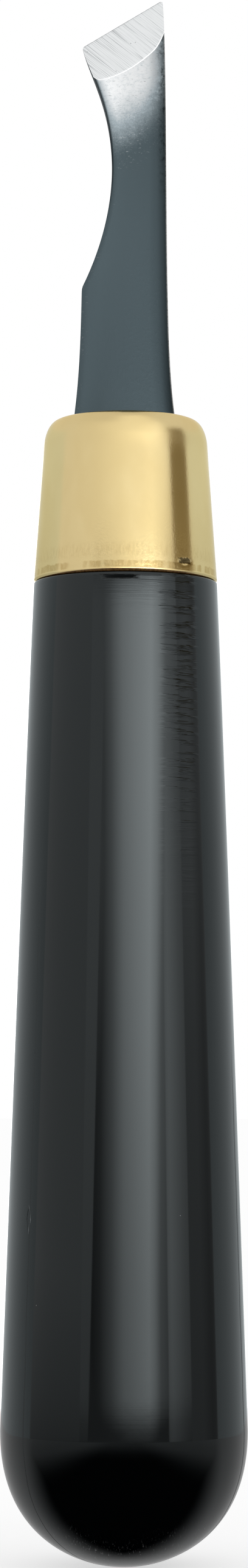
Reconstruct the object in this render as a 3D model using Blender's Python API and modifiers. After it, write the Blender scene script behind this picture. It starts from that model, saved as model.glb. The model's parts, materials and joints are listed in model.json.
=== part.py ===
"""A lino cutting tool: a skew-ground steel blade, a drawn brass ferrule and a turned wooden handle.

Metres, +Z up. The tool stands on the lowest point of its butt, blade uppermost. The blade's bevel and
crowned face look along -Y, its flat back along +Y, and its hollow flank along -X.
"""

import math

import bmesh
import bpy
from mathutils import Matrix, Vector, geometry

# Handle, turned from one piece of wood
HANDLE_LENGTH = 0.0853  # butt to the shoulder under the ferrule
BELLY_DIAMETER = 0.0215
BELLY_HEIGHT = 0.0115  # of the widest point above the butt
BELLY_BLEND = 0.003  # run over which the taper turns upright into the belly
BUTT_SIDE_PULL = 0.77  # fullness of the butt: share of the belly's height
BUTT_END_PULL = 0.39  # and share of the belly's radius
NECK_INSET = 0.00006  # the wood stands this far inside the ferrule's mouth
NECK_ROUND = 0.0003

# Ferrule, drawn from sheet brass and crimped at the mouth
FERRULE_HEIGHT = 0.0143
MOUTH_DIAMETER = 0.01616
FERRULE_TAPER = math.radians(4.1)  # of the wall to the axis
FERRULE_WALL = 0.0008
SHOULDER_RISE = 0.0025  # of the drawn shoulder, along the axis
SHOULDER_RUN = 0.00126  # of the drawn shoulder, towards the axis
INNER_ROUND = 0.0001  # least round left inside the shoulder
LIP_HEIGHT = 0.00065
LIP_TUCK = 0.00012  # the crimped lip leans in this far

# Blade, ground from a plano-convex bar
BLADE_THICKNESS = 0.0016  # flat back to the crown
CROWN_RADIUS = 0.013
CROWN_SHIFT = 0.0003  # of the crown line from the tool's axis, towards the spine
SHANK_LENGTH = 0.01173  # seat to the corner where the hollow flank starts
LOWER_SWEEP = 0.01064  # height of the hollow flank below its waist
UPPER_SWEEP = 0.01136  # and above it, up to the heel of the edge
SHANK_REACH = 0.00393  # from the axis to the hollow side of the shank
WAIST_REACH = 0.00127  # and to the waist of the hollow flank
HEEL_REACH = 0.00395  # and to the heel of the edge
SPINE_REACH = 0.00369  # from the axis to the spine at the top of the shank
TIP_REACH = 0.00324  # and to the tip of the edge
FOOT_FLARE = 0.00068  # the shank widens by this on each side at its foot
EDGE_SKEW = math.radians(31.1)  # of the cutting edge to a square end
FLANK_LEAN = math.radians(14.1)  # of the flank to the axis at the heel
SWEEP_LEAN = math.radians(26.3)  # and where it runs out into the shank
SHANK_LEAN = math.radians(1.2)  # of the shank's sides to the axis at its top
FOOT_LEAN = math.radians(7.6)  # and at its foot
SPINE_LEAN = math.radians(3.1)  # of the spine to the axis at the tip
CORNER_ROUND = 0.00025
BEVEL_ANGLE = math.radians(20.5)  # between the ground bevel and the flat back
EDGE_LAND = 0.00005  # thickness left along the honed edge

# Tang, the tail of the blade inside the handle
TANG_LENGTH = 0.036  # below the blade's shoulders
TANG_ROOT = 0.002  # run of the tang into the body of the blade
TANG_WIDTH = 0.0046
TANG_THICKNESS = 0.0009
TANG_END_WIDTH = 0.0018
TANG_END_THICKNESS = 0.0007

# Fit and facets
FIT_GAP = 0.0003  # between pieces that seat on each other
TURN_STEPS = 60
CROWN_STEPS = 180
SHOULDER_STEPS = 8
LIP_STEPS = 3
NECK_STEPS = 3
TAPER_STEPS = 10
BUTT_STEPS = 14
OUTLINE_STEPS = 12
MERGE_DISTANCE = 0.000002

# Heights above the butt at which the pieces seat
MOUTH_HEIGHT = HANDLE_LENGTH + FIT_GAP
SEAT_HEIGHT = MOUTH_HEIGHT + FERRULE_HEIGHT + FIT_GAP


def clear_scene():
    for thing in list(bpy.data.objects):
        bpy.data.objects.remove(thing, do_unlink=True)


def new_collection(name):
    collection = bpy.data.collections.new(name)
    bpy.context.scene.collection.children.link(collection)
    return collection


def new_material(name, colour, metallic, roughness):
    material = bpy.data.materials.new(name)
    material.use_nodes = True
    shader = material.node_tree.nodes["Principled BSDF"]
    shader.inputs["Base Color"].default_value = (*colour, 1.0)
    shader.inputs["Metallic"].default_value = metallic
    shader.inputs["Roughness"].default_value = roughness
    return material


def add_object(name, mesh, collection, height=0.0):
    piece = bpy.data.objects.new(name, mesh)
    piece.location.z = height
    collection.objects.link(piece)
    return piece


def add_cutter(name, mesh, collection, matrix):
    cutter = bpy.data.objects.new(name, mesh)
    cutter.matrix_world = matrix
    cutter.hide_render = True
    cutter.display_type = "WIRE"
    collection.objects.link(cutter)
    return cutter


def boolean(piece, other, operation):
    modifier = piece.modifiers.new(other.name, "BOOLEAN")
    modifier.operation = operation
    modifier.solver = "EXACT"
    modifier.object = other


def bezier(start, start_pull, end_pull, end, steps):
    """Points from start to end, drawn towards start + start_pull and end + end_pull."""
    start = Vector(start)
    end = Vector(end)
    first_handle = start + Vector(start_pull)
    last_handle = end + Vector(end_pull)
    points = geometry.interpolate_bezier(start, first_handle, last_handle, end, steps + 1)
    return [point.to_2d() for point in points]


def turned(name, profile, collection, height=0.0):
    """A solid turned about Z from (radius, height) points that run down its outer side."""
    mesh = bpy.data.meshes.new(name)
    points = [(radius, 0.0, level) for radius, level in profile]
    mesh.from_pydata(points, [(i, i + 1) for i in range(len(points) - 1)], [])
    piece = add_object(name, mesh, collection, height)
    screw = piece.modifiers.new("turn", "SCREW")
    screw.steps = TURN_STEPS
    screw.render_steps = TURN_STEPS
    screw.use_merge_vertices = True
    screw.merge_threshold = MERGE_DISTANCE
    screw.use_smooth_shade = True
    return piece


def tapered_bar(name, top_size, end_size, top, end):
    """A closed bar of rectangular section that tapers from (width, thickness) at top to end."""
    bm = bmesh.new()
    bmesh.ops.create_cube(bm, size=1.0)
    for vertex in bm.verts:
        upper = vertex.co.z > 0.0
        width, thickness = top_size if upper else end_size
        vertex.co = (vertex.co.x * width, vertex.co.y * thickness, top if upper else end)
    mesh = bpy.data.meshes.new(name)
    bm.to_mesh(mesh)
    bm.free()
    return mesh


def wall_radius(level):
    """Outer radius of the ferrule's straight wall at a level above its mouth."""
    return MOUTH_DIAMETER / 2 - level * math.tan(FERRULE_TAPER)


def drawn_cup(inset):
    """The ferrule's shape from the axis down to the end of its wall, brought in by inset all over."""
    top = FERRULE_HEIGHT - inset
    rise = max(SHOULDER_RISE - inset, INNER_ROUND)
    run = max(SHOULDER_RUN - inset, INNER_ROUND)
    wall_top = wall_radius(top - rise) - inset
    points = [(0.0, top)]
    for step in range(SHOULDER_STEPS + 1):
        angle = math.pi / 2 * (1 - step / SHOULDER_STEPS)
        radius = wall_top - run + run * math.cos(angle)
        points.append((radius, top - rise + rise * math.sin(angle)))
    return points


def make_handle(collection):
    spigot_inset = FERRULE_WALL + FIT_GAP
    profile = [(radius, MOUTH_HEIGHT + level) for radius, level in drawn_cup(spigot_inset)]
    spigot_foot = wall_radius(0.0) - spigot_inset
    profile.append((spigot_foot, HANDLE_LENGTH))

    neck_radius = wall_radius(0.0) - NECK_INSET
    neck_pull = NECK_ROUND / 2
    profile += bezier(
        (neck_radius - NECK_ROUND, HANDLE_LENGTH, 0.0),
        (neck_pull, 0.0, 0.0),
        (0.0, neck_pull, 0.0),
        (neck_radius, HANDLE_LENGTH - NECK_ROUND, 0.0),
        NECK_STEPS,
    )

    belly_radius = BELLY_DIAMETER / 2
    neck = Vector((neck_radius, HANDLE_LENGTH - NECK_ROUND, 0.0))
    belly = Vector((belly_radius, BELLY_HEIGHT, 0.0))
    taper = bezier(neck, (belly - neck) / 3, (0.0, BELLY_BLEND, 0.0), belly, TAPER_STEPS)
    side_pull = (0.0, -BUTT_SIDE_PULL * BELLY_HEIGHT, 0.0)
    end_pull = (BUTT_END_PULL * belly_radius, 0.0, 0.0)
    butt = bezier(belly, side_pull, end_pull, (0.0, 0.0, 0.0), BUTT_STEPS)
    profile += taper[1:] + butt[1:]
    return turned("handle", profile, collection)


def make_ferrule(collection):
    profile = drawn_cup(0.0)
    lip_top = wall_radius(LIP_HEIGHT)
    lip_foot = wall_radius(0.0) - LIP_TUCK
    profile += bezier(
        (lip_top, LIP_HEIGHT, 0.0),
        (lip_foot - lip_top + LIP_TUCK, -LIP_HEIGHT / 2, 0.0),
        (LIP_TUCK / 2, LIP_HEIGHT / 4, 0.0),
        (lip_foot, 0.0, 0.0),
        LIP_STEPS,
    )
    profile.append((wall_radius(0.0) - FERRULE_WALL, 0.0))
    profile += reversed(drawn_cup(FERRULE_WALL))
    return turned("ferrule", profile, collection, MOUTH_HEIGHT)


def heel_and_tip():
    """The ends of the cutting edge, (x, z) above the blade's seat."""
    heel = Vector((-HEEL_REACH, SHANK_LENGTH + LOWER_SWEEP + UPPER_SWEEP))
    tip_rise = (HEEL_REACH + TIP_REACH) * math.tan(EDGE_SKEW)
    return heel, Vector((TIP_REACH, heel.y + tip_rise))


def leaning(angle, length):
    """A step of length that goes down and leans towards the spine by angle."""
    return Vector((math.sin(angle), -math.cos(angle))) * length


def rounded_corner(corner, before, after):
    """The two outline points that round a corner, and their handles on the round itself."""
    start = before.normalized() * CORNER_ROUND
    end = after.normalized() * CORNER_ROUND
    return corner + start, -start / 2, corner + end, -end / 2


def blade_outline():
    """Outline points from the foot of the spine, each with its handles, or None for a straight run."""
    heel, tip = heel_and_tip()
    edge = tip - heel
    spine_run = tip.y - SHANK_LENGTH
    third = SHANK_LENGTH / 3
    along_spine = leaning(SPINE_LEAN, spine_run / 4)
    along_flank = leaning(FLANK_LEAN, UPPER_SWEEP / 4)
    out_of_sweep = -leaning(-SWEEP_LEAN, LOWER_SWEEP / 3)
    down_spine = leaning(SHANK_LEAN, third)
    down_flank = leaning(-SHANK_LEAN, third)
    foot_run = third * math.tan(FOOT_LEAN)

    spine_foot = Vector((SPINE_REACH + FOOT_FLARE, 0.0))
    spine_top = Vector((SPINE_REACH, SHANK_LENGTH))
    waist = Vector((-WAIST_REACH, SHANK_LENGTH + LOWER_SWEEP))
    shank_top = Vector((-SHANK_REACH, SHANK_LENGTH))
    shank_foot = Vector((-SHANK_REACH - FOOT_FLARE, 0.0))

    tip_start, tip_in, tip_end, tip_out = rounded_corner(tip, along_spine, -edge)
    heel_start, heel_in, heel_end, heel_out = rounded_corner(heel, edge, along_flank)
    shank_start, shank_in, shank_end, shank_out = rounded_corner(shank_top, out_of_sweep, down_flank)
    return [
        (spine_foot, None, Vector((-foot_run, third))),
        (spine_top, down_spine, -down_spine.normalized() * spine_run / 3),
        (tip_start, along_spine, tip_in),
        (tip_end, tip_out, None),
        (heel_start, None, heel_in),
        (heel_end, heel_out, along_flank),
        (waist, Vector((0.0, UPPER_SWEEP / 2)), Vector((0.0, -LOWER_SWEEP / 3))),
        (shank_start, out_of_sweep, shank_in),
        (shank_end, shank_out, down_flank),
        (shank_foot, Vector((foot_run, third)), None),
    ]


def blade_blank(collection):
    """The blade's outline as a plate, flat back in place and its face proud of the crown."""
    outline = blade_outline()
    curve = bpy.data.curves.new("blade_blank", "CURVE")
    curve.dimensions = "2D"
    curve.fill_mode = "BOTH"
    curve.resolution_u = OUTLINE_STEPS
    curve.render_resolution_u = OUTLINE_STEPS
    curve.extrude = BLADE_THICKNESS
    spline = curve.splines.new("BEZIER")
    spline.use_cyclic_u = True
    spline.bezier_points.add(len(outline) - 1)
    for bezier_point, (point, before, after) in zip(spline.bezier_points, outline):
        bezier_point.co = point.to_3d()
        bezier_point.handle_left_type = "FREE" if before else "VECTOR"
        bezier_point.handle_right_type = "FREE" if after else "VECTOR"
        if before:
            bezier_point.handle_left = (point + before).to_3d()
        if after:
            bezier_point.handle_right = (point + after).to_3d()
    drawing = bpy.data.objects.new("blade_drawing", curve)
    back_to_middle = BLADE_THICKNESS / 2 - curve.extrude
    upright = Matrix.Rotation(math.pi / 2, 4, "X")
    drawing.matrix_world = Matrix.Translation((0.0, back_to_middle, SEAT_HEIGHT)) @ upright
    collection.objects.link(drawing)

    depsgraph = bpy.context.evaluated_depsgraph_get()
    mesh = bpy.data.meshes.new_from_object(drawing.evaluated_get(depsgraph))
    bm = bmesh.new()
    bm.from_mesh(mesh)
    bmesh.ops.remove_doubles(bm, verts=bm.verts, dist=MERGE_DISTANCE)
    bm.to_mesh(mesh)
    bm.free()
    blank = bpy.data.objects.new("blade", mesh)
    blank.matrix_world = drawing.matrix_world.copy()
    collection.objects.link(blank)
    bpy.data.objects.remove(drawing, do_unlink=True)
    return blank


def crown_cylinder(collection):
    """A cylinder whose side is the crowned face of the bar that the blade is ground from."""
    _, tip = heel_and_tip()
    bm = bmesh.new()
    bmesh.ops.create_cone(
        bm,
        cap_ends=True,
        segments=CROWN_STEPS,
        radius1=CROWN_RADIUS,
        radius2=CROWN_RADIUS,
        depth=2 * tip.y,
    )
    mesh = bpy.data.meshes.new("crown")
    bm.to_mesh(mesh)
    bm.free()
    centre = (CROWN_SHIFT, CROWN_RADIUS - BLADE_THICKNESS / 2, SEAT_HEIGHT + tip.y / 2)
    return add_cutter("crown", mesh, collection, Matrix.Translation(centre))


def bevel_block(collection):
    """A block whose lower face is the plane of the ground bevel."""
    heel, tip = heel_and_tip()
    edge = (tip - heel).normalized()
    along = Vector((edge.x, 0.0, edge.y))
    back = Vector((0.0, 1.0, 0.0))
    down = back.cross(along)
    outward = -math.cos(BEVEL_ANGLE) * back - math.sin(BEVEL_ANGLE) * down
    size = 3 * (tip - heel).length
    middle = (heel + tip) / 2
    on_edge = Vector((middle.x, BLADE_THICKNESS / 2 - EDGE_LAND, SEAT_HEIGHT + middle.y))
    centre = on_edge + outward * size / 2
    axes = Matrix((along, outward.cross(along), outward)).transposed().to_4x4()
    bm = bmesh.new()
    bmesh.ops.create_cube(bm, size=size)
    mesh = bpy.data.meshes.new("bevel")
    bm.to_mesh(mesh)
    bm.free()
    return add_cutter("bevel", mesh, collection, Matrix.Translation(centre) @ axes)


def tang_bar(name, clearance, collection):
    """The tang, or with a clearance the socket that it goes into."""
    top_size = (TANG_WIDTH + 2 * clearance, TANG_THICKNESS + 2 * clearance)
    end_size = (TANG_END_WIDTH + 2 * clearance, TANG_END_THICKNESS + 2 * clearance)
    mesh = tapered_bar(name, top_size, end_size, TANG_ROOT, -TANG_LENGTH - clearance)
    return add_cutter(name, mesh, collection, Matrix.Translation((0.0, 0.0, SEAT_HEIGHT)))


def make_blade(collection, cutters):
    blade = blade_blank(collection)
    boolean(blade, crown_cylinder(cutters), "INTERSECT")
    boolean(blade, bevel_block(cutters), "DIFFERENCE")
    boolean(blade, tang_bar("tang", 0.0, cutters), "UNION")
    return blade


def main():
    clear_scene()
    pieces = new_collection("lino_cutting_tool")
    cutters = new_collection("cutters")
    handle = make_handle(pieces)
    ferrule = make_ferrule(pieces)
    blade = make_blade(pieces, cutters)
    socket = tang_bar("socket", FIT_GAP, cutters)
    boolean(handle, socket, "DIFFERENCE")
    boolean(ferrule, socket, "DIFFERENCE")
    looks = {
        handle: new_material("black_lacquer", (0.012, 0.014, 0.015), 0.0, 0.15),
        ferrule: new_material("brass", (0.80, 0.63, 0.30), 1.0, 0.25),
        blade: new_material("blued_steel", (0.15, 0.19, 0.21), 1.0, 0.30),
    }
    for piece, material in looks.items():
        piece.data.materials.append(material)


main()
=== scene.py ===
# %% [markdown]
# # A lino cutting tool
#
# This tool cuts linoleum for printing: a skew blade, set through a drawn brass ferrule into a turned
# and lacquered handle. The imported model holds all three pieces at their true size, and it is the fixed
# frame here: nothing in it moves. Each piece gets a finer mesh in the same place, with the finish that
# the real one has.

# %% Load the imported model
import json
import math

import bmesh
import bpy
from mathutils import Matrix, Vector, geometry, noise

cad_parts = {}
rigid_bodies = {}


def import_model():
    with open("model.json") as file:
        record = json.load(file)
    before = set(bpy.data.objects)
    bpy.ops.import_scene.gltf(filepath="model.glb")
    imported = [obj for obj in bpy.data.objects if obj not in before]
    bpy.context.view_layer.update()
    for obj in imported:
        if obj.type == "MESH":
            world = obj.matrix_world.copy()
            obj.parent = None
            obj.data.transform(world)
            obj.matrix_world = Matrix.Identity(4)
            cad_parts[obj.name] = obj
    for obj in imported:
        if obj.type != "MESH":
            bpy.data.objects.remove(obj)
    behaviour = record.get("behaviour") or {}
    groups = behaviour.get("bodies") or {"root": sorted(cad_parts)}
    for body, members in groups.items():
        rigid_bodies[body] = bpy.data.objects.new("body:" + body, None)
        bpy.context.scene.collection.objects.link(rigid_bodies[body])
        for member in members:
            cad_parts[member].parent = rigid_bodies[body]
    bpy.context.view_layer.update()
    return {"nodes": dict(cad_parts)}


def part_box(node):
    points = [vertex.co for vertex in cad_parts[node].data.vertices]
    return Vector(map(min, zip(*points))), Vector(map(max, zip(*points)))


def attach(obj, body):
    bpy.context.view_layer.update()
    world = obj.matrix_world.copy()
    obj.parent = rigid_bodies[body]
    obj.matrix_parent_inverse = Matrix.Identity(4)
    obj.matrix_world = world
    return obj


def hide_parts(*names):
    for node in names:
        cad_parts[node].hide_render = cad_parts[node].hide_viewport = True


MM = 0.001

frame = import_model()
print("packed pieces:", sorted(frame["nodes"]))

# %% [markdown]
# ## The camera
#
# The tool stands upright and the camera looks at it from the front, from a little below the square
# view: the rims of the ferrule bow upwards in the picture, which only a low camera gives. A long lens
# would make both rims bow alike. They don't, so the camera stands near, about twice the tool's length
# away. A small roll and side step put the tool where it stands in the picture.

# %% Set up the camera
CAMERA_DISTANCE = 320.8 * MM
CAMERA_TILT = math.radians(4.5)
CAMERA_ROLL = math.radians(0.105)
SIDE_STEP = -0.097 * MM
AIM_HEIGHT = 67.8 * MM
LENS = 83.85
SENSOR = 36.0
CLIP_START = 10 * MM
CLIP_END = 10.0


def make_camera():
    data = bpy.data.cameras.new("portrait_camera")
    data.sensor_fit = "VERTICAL"
    data.sensor_width = SENSOR
    data.sensor_height = SENSOR
    data.lens = LENS
    data.clip_start = CLIP_START
    data.clip_end = CLIP_END
    camera = bpy.data.objects.new("portrait_camera", data)
    bpy.context.scene.collection.objects.link(camera)
    aim = Vector((SIDE_STEP, 0.0, AIM_HEIGHT))
    sight = Vector((0.0, math.cos(CAMERA_TILT), math.sin(CAMERA_TILT)))
    camera.location = aim - sight * CAMERA_DISTANCE
    upright = sight.to_track_quat("-Z", "Y").to_matrix().to_4x4()
    camera.rotation_euler = (upright @ Matrix.Rotation(CAMERA_ROLL, 4, "Z")).to_euler()
    return camera


bpy.context.scene.camera = make_camera()
bpy.context.scene.view_settings.view_transform = "Standard"
print("camera stands at", [round(place / MM, 1) for place in bpy.context.scene.camera.location])

# %% [markdown]
# ## A hand for node trees
#
# Every finish below is a small tree of shader nodes. Nodes can be wired by hand in the editor. In a
# script it is shorter to have one function that makes a node, sets it up, and wires each input that is
# given a socket and fills in each input that is given a number. A few more turn the nodes used most into
# one word each: a sum, a product, a run from one value to another, a ramp and a blend of two colours.

# %% Make and wire nodes
NODE_STEP = 190
OPAQUE = 1.0


def add_node(tree, kind, inputs=None, **settings):
    """A new node. Inputs are given by name or place, as plain values or as sockets to wire in."""
    made = tree.nodes.new(kind)
    made.location.x = NODE_STEP * len(tree.nodes)
    for name, value in settings.items():
        setattr(made, name, value)
    for name, value in (inputs or {}).items():
        if isinstance(value, bpy.types.NodeSocket):
            tree.links.new(value, made.inputs[name])
        else:
            made.inputs[name].default_value = value
    return made


def calc(tree, operation, first, second=0.0):
    """One sum of two values, as a socket."""
    return add_node(tree, "ShaderNodeMath", {0: first, 1: second}, operation=operation).outputs[0]


def product(tree, first, *others):
    """Values multiplied together, as a socket."""
    for other in others:
        first = calc(tree, "MULTIPLY", first, other)
    return first


def spread(tree, value, low, high, to_low=0.0, to_high=1.0):
    """The value's run from low to high, eased and brought to another run."""
    inputs = {"Value": value, "From Min": low, "From Max": high, "To Min": to_low, "To Max": to_high}
    made = add_node(tree, "ShaderNodeMapRange", inputs, interpolation_type="SMOOTHSTEP")
    return made.outputs["Result"]


print("node helpers ready: sums, products, runs")

# %% Ramps, blends and places
MIX_SHARE, MIX_FIRST, MIX_SECOND, MIX_COLOUR = 0, 6, 7, 2


def shades(tree, value, stops):
    """A colour ramp with (place, colour) stops, or (place, grey) ones."""
    ramp = add_node(tree, "ShaderNodeValToRGB", {"Fac": value})
    elements = ramp.color_ramp.elements
    while len(elements) < len(stops):
        elements.new(0.5)
    for element, (place, shade) in zip(elements, stops):
        colour = shade[:3] if isinstance(shade, tuple) else (shade, shade, shade)
        element.position = place
        element.color = (*colour, OPAQUE)
    return ramp.outputs["Color"]


def blend(tree, share, first, second):
    """A colour between two others. A Mix node tells its colour sockets apart by place only."""
    inputs = {MIX_SHARE: share, MIX_FIRST: first, MIX_SECOND: second}
    return add_node(tree, "ShaderNodeMix", inputs, data_type="RGBA").outputs[MIX_COLOUR]


def own_place(tree):
    """Where a point lies in the model, as a vector."""
    return add_node(tree, "ShaderNodeTexCoord").outputs["Object"]


def own_sides(tree):
    """Where a point lies in the model, as X, Y and Z."""
    return add_node(tree, "ShaderNodeSeparateXYZ", {0: own_place(tree)}).outputs


def bare_material(name):
    """A material with an empty tree, and that tree."""
    material = bpy.data.materials.new(name)
    material.use_nodes = True
    material.node_tree.nodes.clear()
    return material, material.node_tree


print("node helpers ready: ramps, blends, places")

# %% [markdown]
# ## The studio
#
# The picture has a white ground, and black lacquer shows whatever stands round it. So the room is a
# white tent: the world is white where the camera or a reflection looks into it, and gives an even, plain
# light elsewhere. The floor is pale and keeps the tool's shadow.

# %% White tent
ROOM_LIGHT = 0.45
WHITE = (1.0, 1.0, 1.0, 1.0)


def seen_directly(tree):
    """1 for rays from the camera, mirrors and glass, and 0 for the light that falls on things."""
    path = add_node(tree, "ShaderNodeLightPath")
    mirrored = calc(tree, "MAXIMUM", path.outputs["Is Glossy Ray"], path.outputs["Is Transmission Ray"])
    return calc(tree, "MAXIMUM", path.outputs["Is Camera Ray"], mirrored)


def make_tent():
    world = bpy.data.worlds.new("white_tent")
    world.use_nodes = True
    tree = world.node_tree
    strength = calc(tree, "MAXIMUM", seen_directly(tree), ROOM_LIGHT)
    tree.links.new(strength, tree.nodes["Background"].inputs["Strength"])
    tree.nodes["Background"].inputs["Color"].default_value = WHITE
    bpy.context.scene.world = world


make_tent()
print("tent light", ROOM_LIGHT)

# %% Pale floor
FLOOR_COLOUR = (0.80, 0.80, 0.80, 1.0)
FLOOR_GLOW = 0.62
FLOOR_RADIUS = 3.0
FLOOR_SIDES = 96


def disc_mesh(name, radius, height, sides):
    """A flat round plate at a height."""
    bm = bmesh.new()
    bmesh.ops.create_circle(bm, cap_ends=True, segments=sides, radius=radius)
    bmesh.ops.translate(bm, verts=bm.verts, vec=(0.0, 0.0, height))
    mesh = bpy.data.meshes.new(name)
    bm.to_mesh(mesh)
    bm.free()
    return mesh


def pale_floor():
    material, tree = bare_material("pale_floor")
    matt = add_node(tree, "ShaderNodeBsdfDiffuse", {"Color": FLOOR_COLOUR})
    glowing = product(tree, seen_directly(tree), FLOOR_GLOW)
    white = add_node(tree, "ShaderNodeEmission", {"Strength": glowing})
    both = add_node(tree, "ShaderNodeAddShader", {0: matt.outputs[0], 1: white.outputs[0]})
    add_node(tree, "ShaderNodeOutputMaterial", {"Surface": both.outputs[0]})
    return material


floor = bpy.data.objects.new("floor", disc_mesh("floor", FLOOR_RADIUS, 0.0, FLOOR_SIDES))
floor.data.materials.append(pale_floor())
bpy.context.scene.collection.objects.link(floor)
print("floor glow", FLOOR_GLOW)

# %% [markdown]
# ## Cards and flags
#
# What gives the black handle its shape is one soft light in front, a little to the right, that grows
# brighter from left to right and ends in a clear edge. A photographer makes it with a lit card, and cuts
# dark lines into a reflection with black flags. The cards here are bent round the tool. They show in
# reflections only, so they light nothing else, and the camera looks through them.

# %% A card bent round the tool
CARD_DISTANCE = 150 * MM
CARD_STEP = math.radians(3.0)


def card_mesh(name, left, right, foot, top, distance):
    """A strip of a drum round the axis. Angles run from the camera's side, to the right."""
    columns = max(1, round((right - left) / CARD_STEP))
    points = []
    for column in range(columns + 1):
        angle = left + (right - left) * column / columns
        for height in (foot, top):
            points.append((distance * math.sin(angle), -distance * math.cos(angle), height))
    faces = [(2 * i, 2 * i + 1, 2 * i + 3, 2 * i + 2) for i in range(columns)]
    mesh = bpy.data.meshes.new(name)
    mesh.from_pydata(points, [], faces)
    layer = mesh.uv_layers.new(name="card")
    for loop in mesh.loops:
        column, level = divmod(loop.vertex_index, 2)
        layer.data[loop.index].uv = (column / columns, level)
    return mesh


print("cards hang", round(CARD_DISTANCE / MM), "mm from the axis")

# %% Hang a card and light it


def hang(name, mesh, material):
    """Puts a card in the studio where only reflections see it."""
    mesh.materials.append(material)
    card = bpy.data.objects.new(name, mesh)
    card.visible_camera = False
    card.visible_diffuse = False
    card.visible_transmission = False
    card.visible_shadow = False
    bpy.context.scene.collection.objects.link(card)


def card_material(name):
    """A material for a card, its tree, and the place on the card: across and up, from 0 to 1."""
    material, tree = bare_material(name)
    layer = add_node(tree, "ShaderNodeUVMap", uv_map="card")
    sides = add_node(tree, "ShaderNodeSeparateXYZ", {0: layer.outputs["UV"]})
    return material, tree, sides.outputs["X"], sides.outputs["Y"]


def glow(tree, light, tint=WHITE):
    """Makes the whole surface give light."""
    lamp = add_node(tree, "ShaderNodeEmission", {"Color": tint, "Strength": light})
    add_node(tree, "ShaderNodeOutputMaterial", {"Surface": lamp.outputs[0]})


def card_light(name, across, upward, strength, tint):
    """A card with one ramp of light across it and one up it."""
    material, tree, side, rise = card_material(name)
    glow(tree, product(tree, shades(tree, side, across), shades(tree, rise, upward), strength), tint)
    return material


print("card helpers ready: hanging, ramps of light")

# %% [markdown]
# The key card is narrow at its foot and wide at its top, as the light in the handle is. Its two sides
# spread apart by ramps of their own, which hold half of each spread. A dimmer panel stands on each side
# of it, the left one with a crisp edge that leans.

# %% Key card
KEY_LEFT = math.radians(-40)
KEY_RIGHT = math.radians(66)
KEY_FOOT = 0.0
KEY_TOP = 127 * MM
KEY_LIGHT = 6.0
KEY_CENTRE = 0.476
SPREAD_SCALE = 0.5
KEY_ACROSS = [(0.0, 0.03), (0.12, 0.09), (0.24, 0.27), (0.36, 0.60), (0.61, 1.0), (0.67, 0.76),
              (0.73, 0.36), (0.80, 0.26), (1.0, 0.1)]
FILL_ACROSS = [(0.752, 0.0), (0.766, 0.40), (0.80, 0.44), (0.83, 0.40), (0.92, 0.27), (1.0, 0.19)]
RIGHT_SPREAD = [(0.0, 0.42), (0.2, 0.435), (0.457, 0.5), (0.71, 0.64), (0.91, 0.74), (1.0, 0.76)]
LEFT_SPREAD = [(0.0, 0.42), (0.2, 0.44), (0.457, 0.45), (0.71, 0.50), (0.91, 0.59), (1.0, 0.60)]
LEFT_PANEL = 0.195
EDGE_PLACE = 0.072
EDGE_LEAN = 0.095
EDGE_SOFT = 0.006
KEY_UPWARD = [(0.0, 0.0), (0.055, 0.08), (0.07, 0.17), (0.09, 0.57), (0.2, 0.62), (0.457, 0.82),
              (0.71, 0.97), (0.905, 1.0), (0.92, 0.5), (0.945, 0.27), (1.0, 0.23)]
FILL_UPWARD = [(0.0, 0.20), (0.065, 0.36), (0.09, 0.60), (0.2, 0.70), (0.457, 0.84), (0.71, 0.88),
               (0.90, 0.90), (1.0, 0.25)]
TOP_FILL = [(0.0, 0.057), (0.05, 0.04), (0.10, 0.04), (0.2, 0.025), (0.28, 0.02), (0.45, 0.08),
            (0.62, 0.135), (0.86, 0.147), (1.0, 0.13)]


def key_light():
    """Light that is narrow at the foot and wide at the top, with a dimmer panel on each side."""
    material, tree, side, rise = card_material("key_light")
    off_centre = product(tree, calc(tree, "SUBTRACT", side, KEY_CENTRE), SPREAD_SCALE)
    right = calc(tree, "DIVIDE", calc(tree, "MAXIMUM", off_centre, 0.0), shades(tree, rise, RIGHT_SPREAD))
    left = calc(tree, "DIVIDE", calc(tree, "MINIMUM", off_centre, 0.0), shades(tree, rise, LEFT_SPREAD))
    across = calc(tree, "ADD", calc(tree, "ADD", left, right), KEY_CENTRE)
    panel = product(tree, shades(tree, across, KEY_ACROSS), shades(tree, rise, KEY_UPWARD))
    past_edge = calc(tree, "SUBTRACT", side, product(tree, rise, EDGE_LEAN))
    left_panel = spread(tree, past_edge, EDGE_PLACE + EDGE_SOFT, EDGE_PLACE - EDGE_SOFT, 0.0, LEFT_PANEL)
    fill = calc(tree, "MAXIMUM", shades(tree, side, FILL_ACROSS), left_panel)
    fill = product(tree, fill, shades(tree, rise, FILL_UPWARD))
    level = calc(tree, "MAXIMUM", calc(tree, "MAXIMUM", panel, fill), shades(tree, rise, TOP_FILL))
    glow(tree, product(tree, level, KEY_LIGHT))
    return material


key = card_mesh("key_card", KEY_LEFT, KEY_RIGHT, KEY_FOOT, KEY_TOP, CARD_DISTANCE)
hang("key_card", key, key_light())
print("key card from", round(KEY_FOOT / MM), "to", round(KEY_TOP / MM), "mm")

# %% [markdown]
# Over the key card hangs an upper card, which the ferrule and the blade see, and over its right part a
# roof card for the ferrule's shoulder. A flag at the right makes the dark line in the handle. Its upper
# half is brown, as the same line in the ferrule is. The cards at the sides are a little cool and give the
# handle its two pale rims, and a bright strip behind the tool edges them.

# %% Upper cards and flags
EVEN = [(0.0, 1.0), (1.0, 1.0)]
PLAIN_LIGHT = 1.0
UPPER_LEFT = math.radians(-80)
UPPER_RIGHT = math.radians(60)
UPPER_TOP = 240 * MM
UPPER_LIGHT = 1.38
UPPER_ACROSS = [(0.0, 0.74), (0.24, 0.80), (0.41, 0.90), (0.57, 0.97), (0.67, 1.0), (0.93, 1.0), (1.0, 0.85)]

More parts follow.
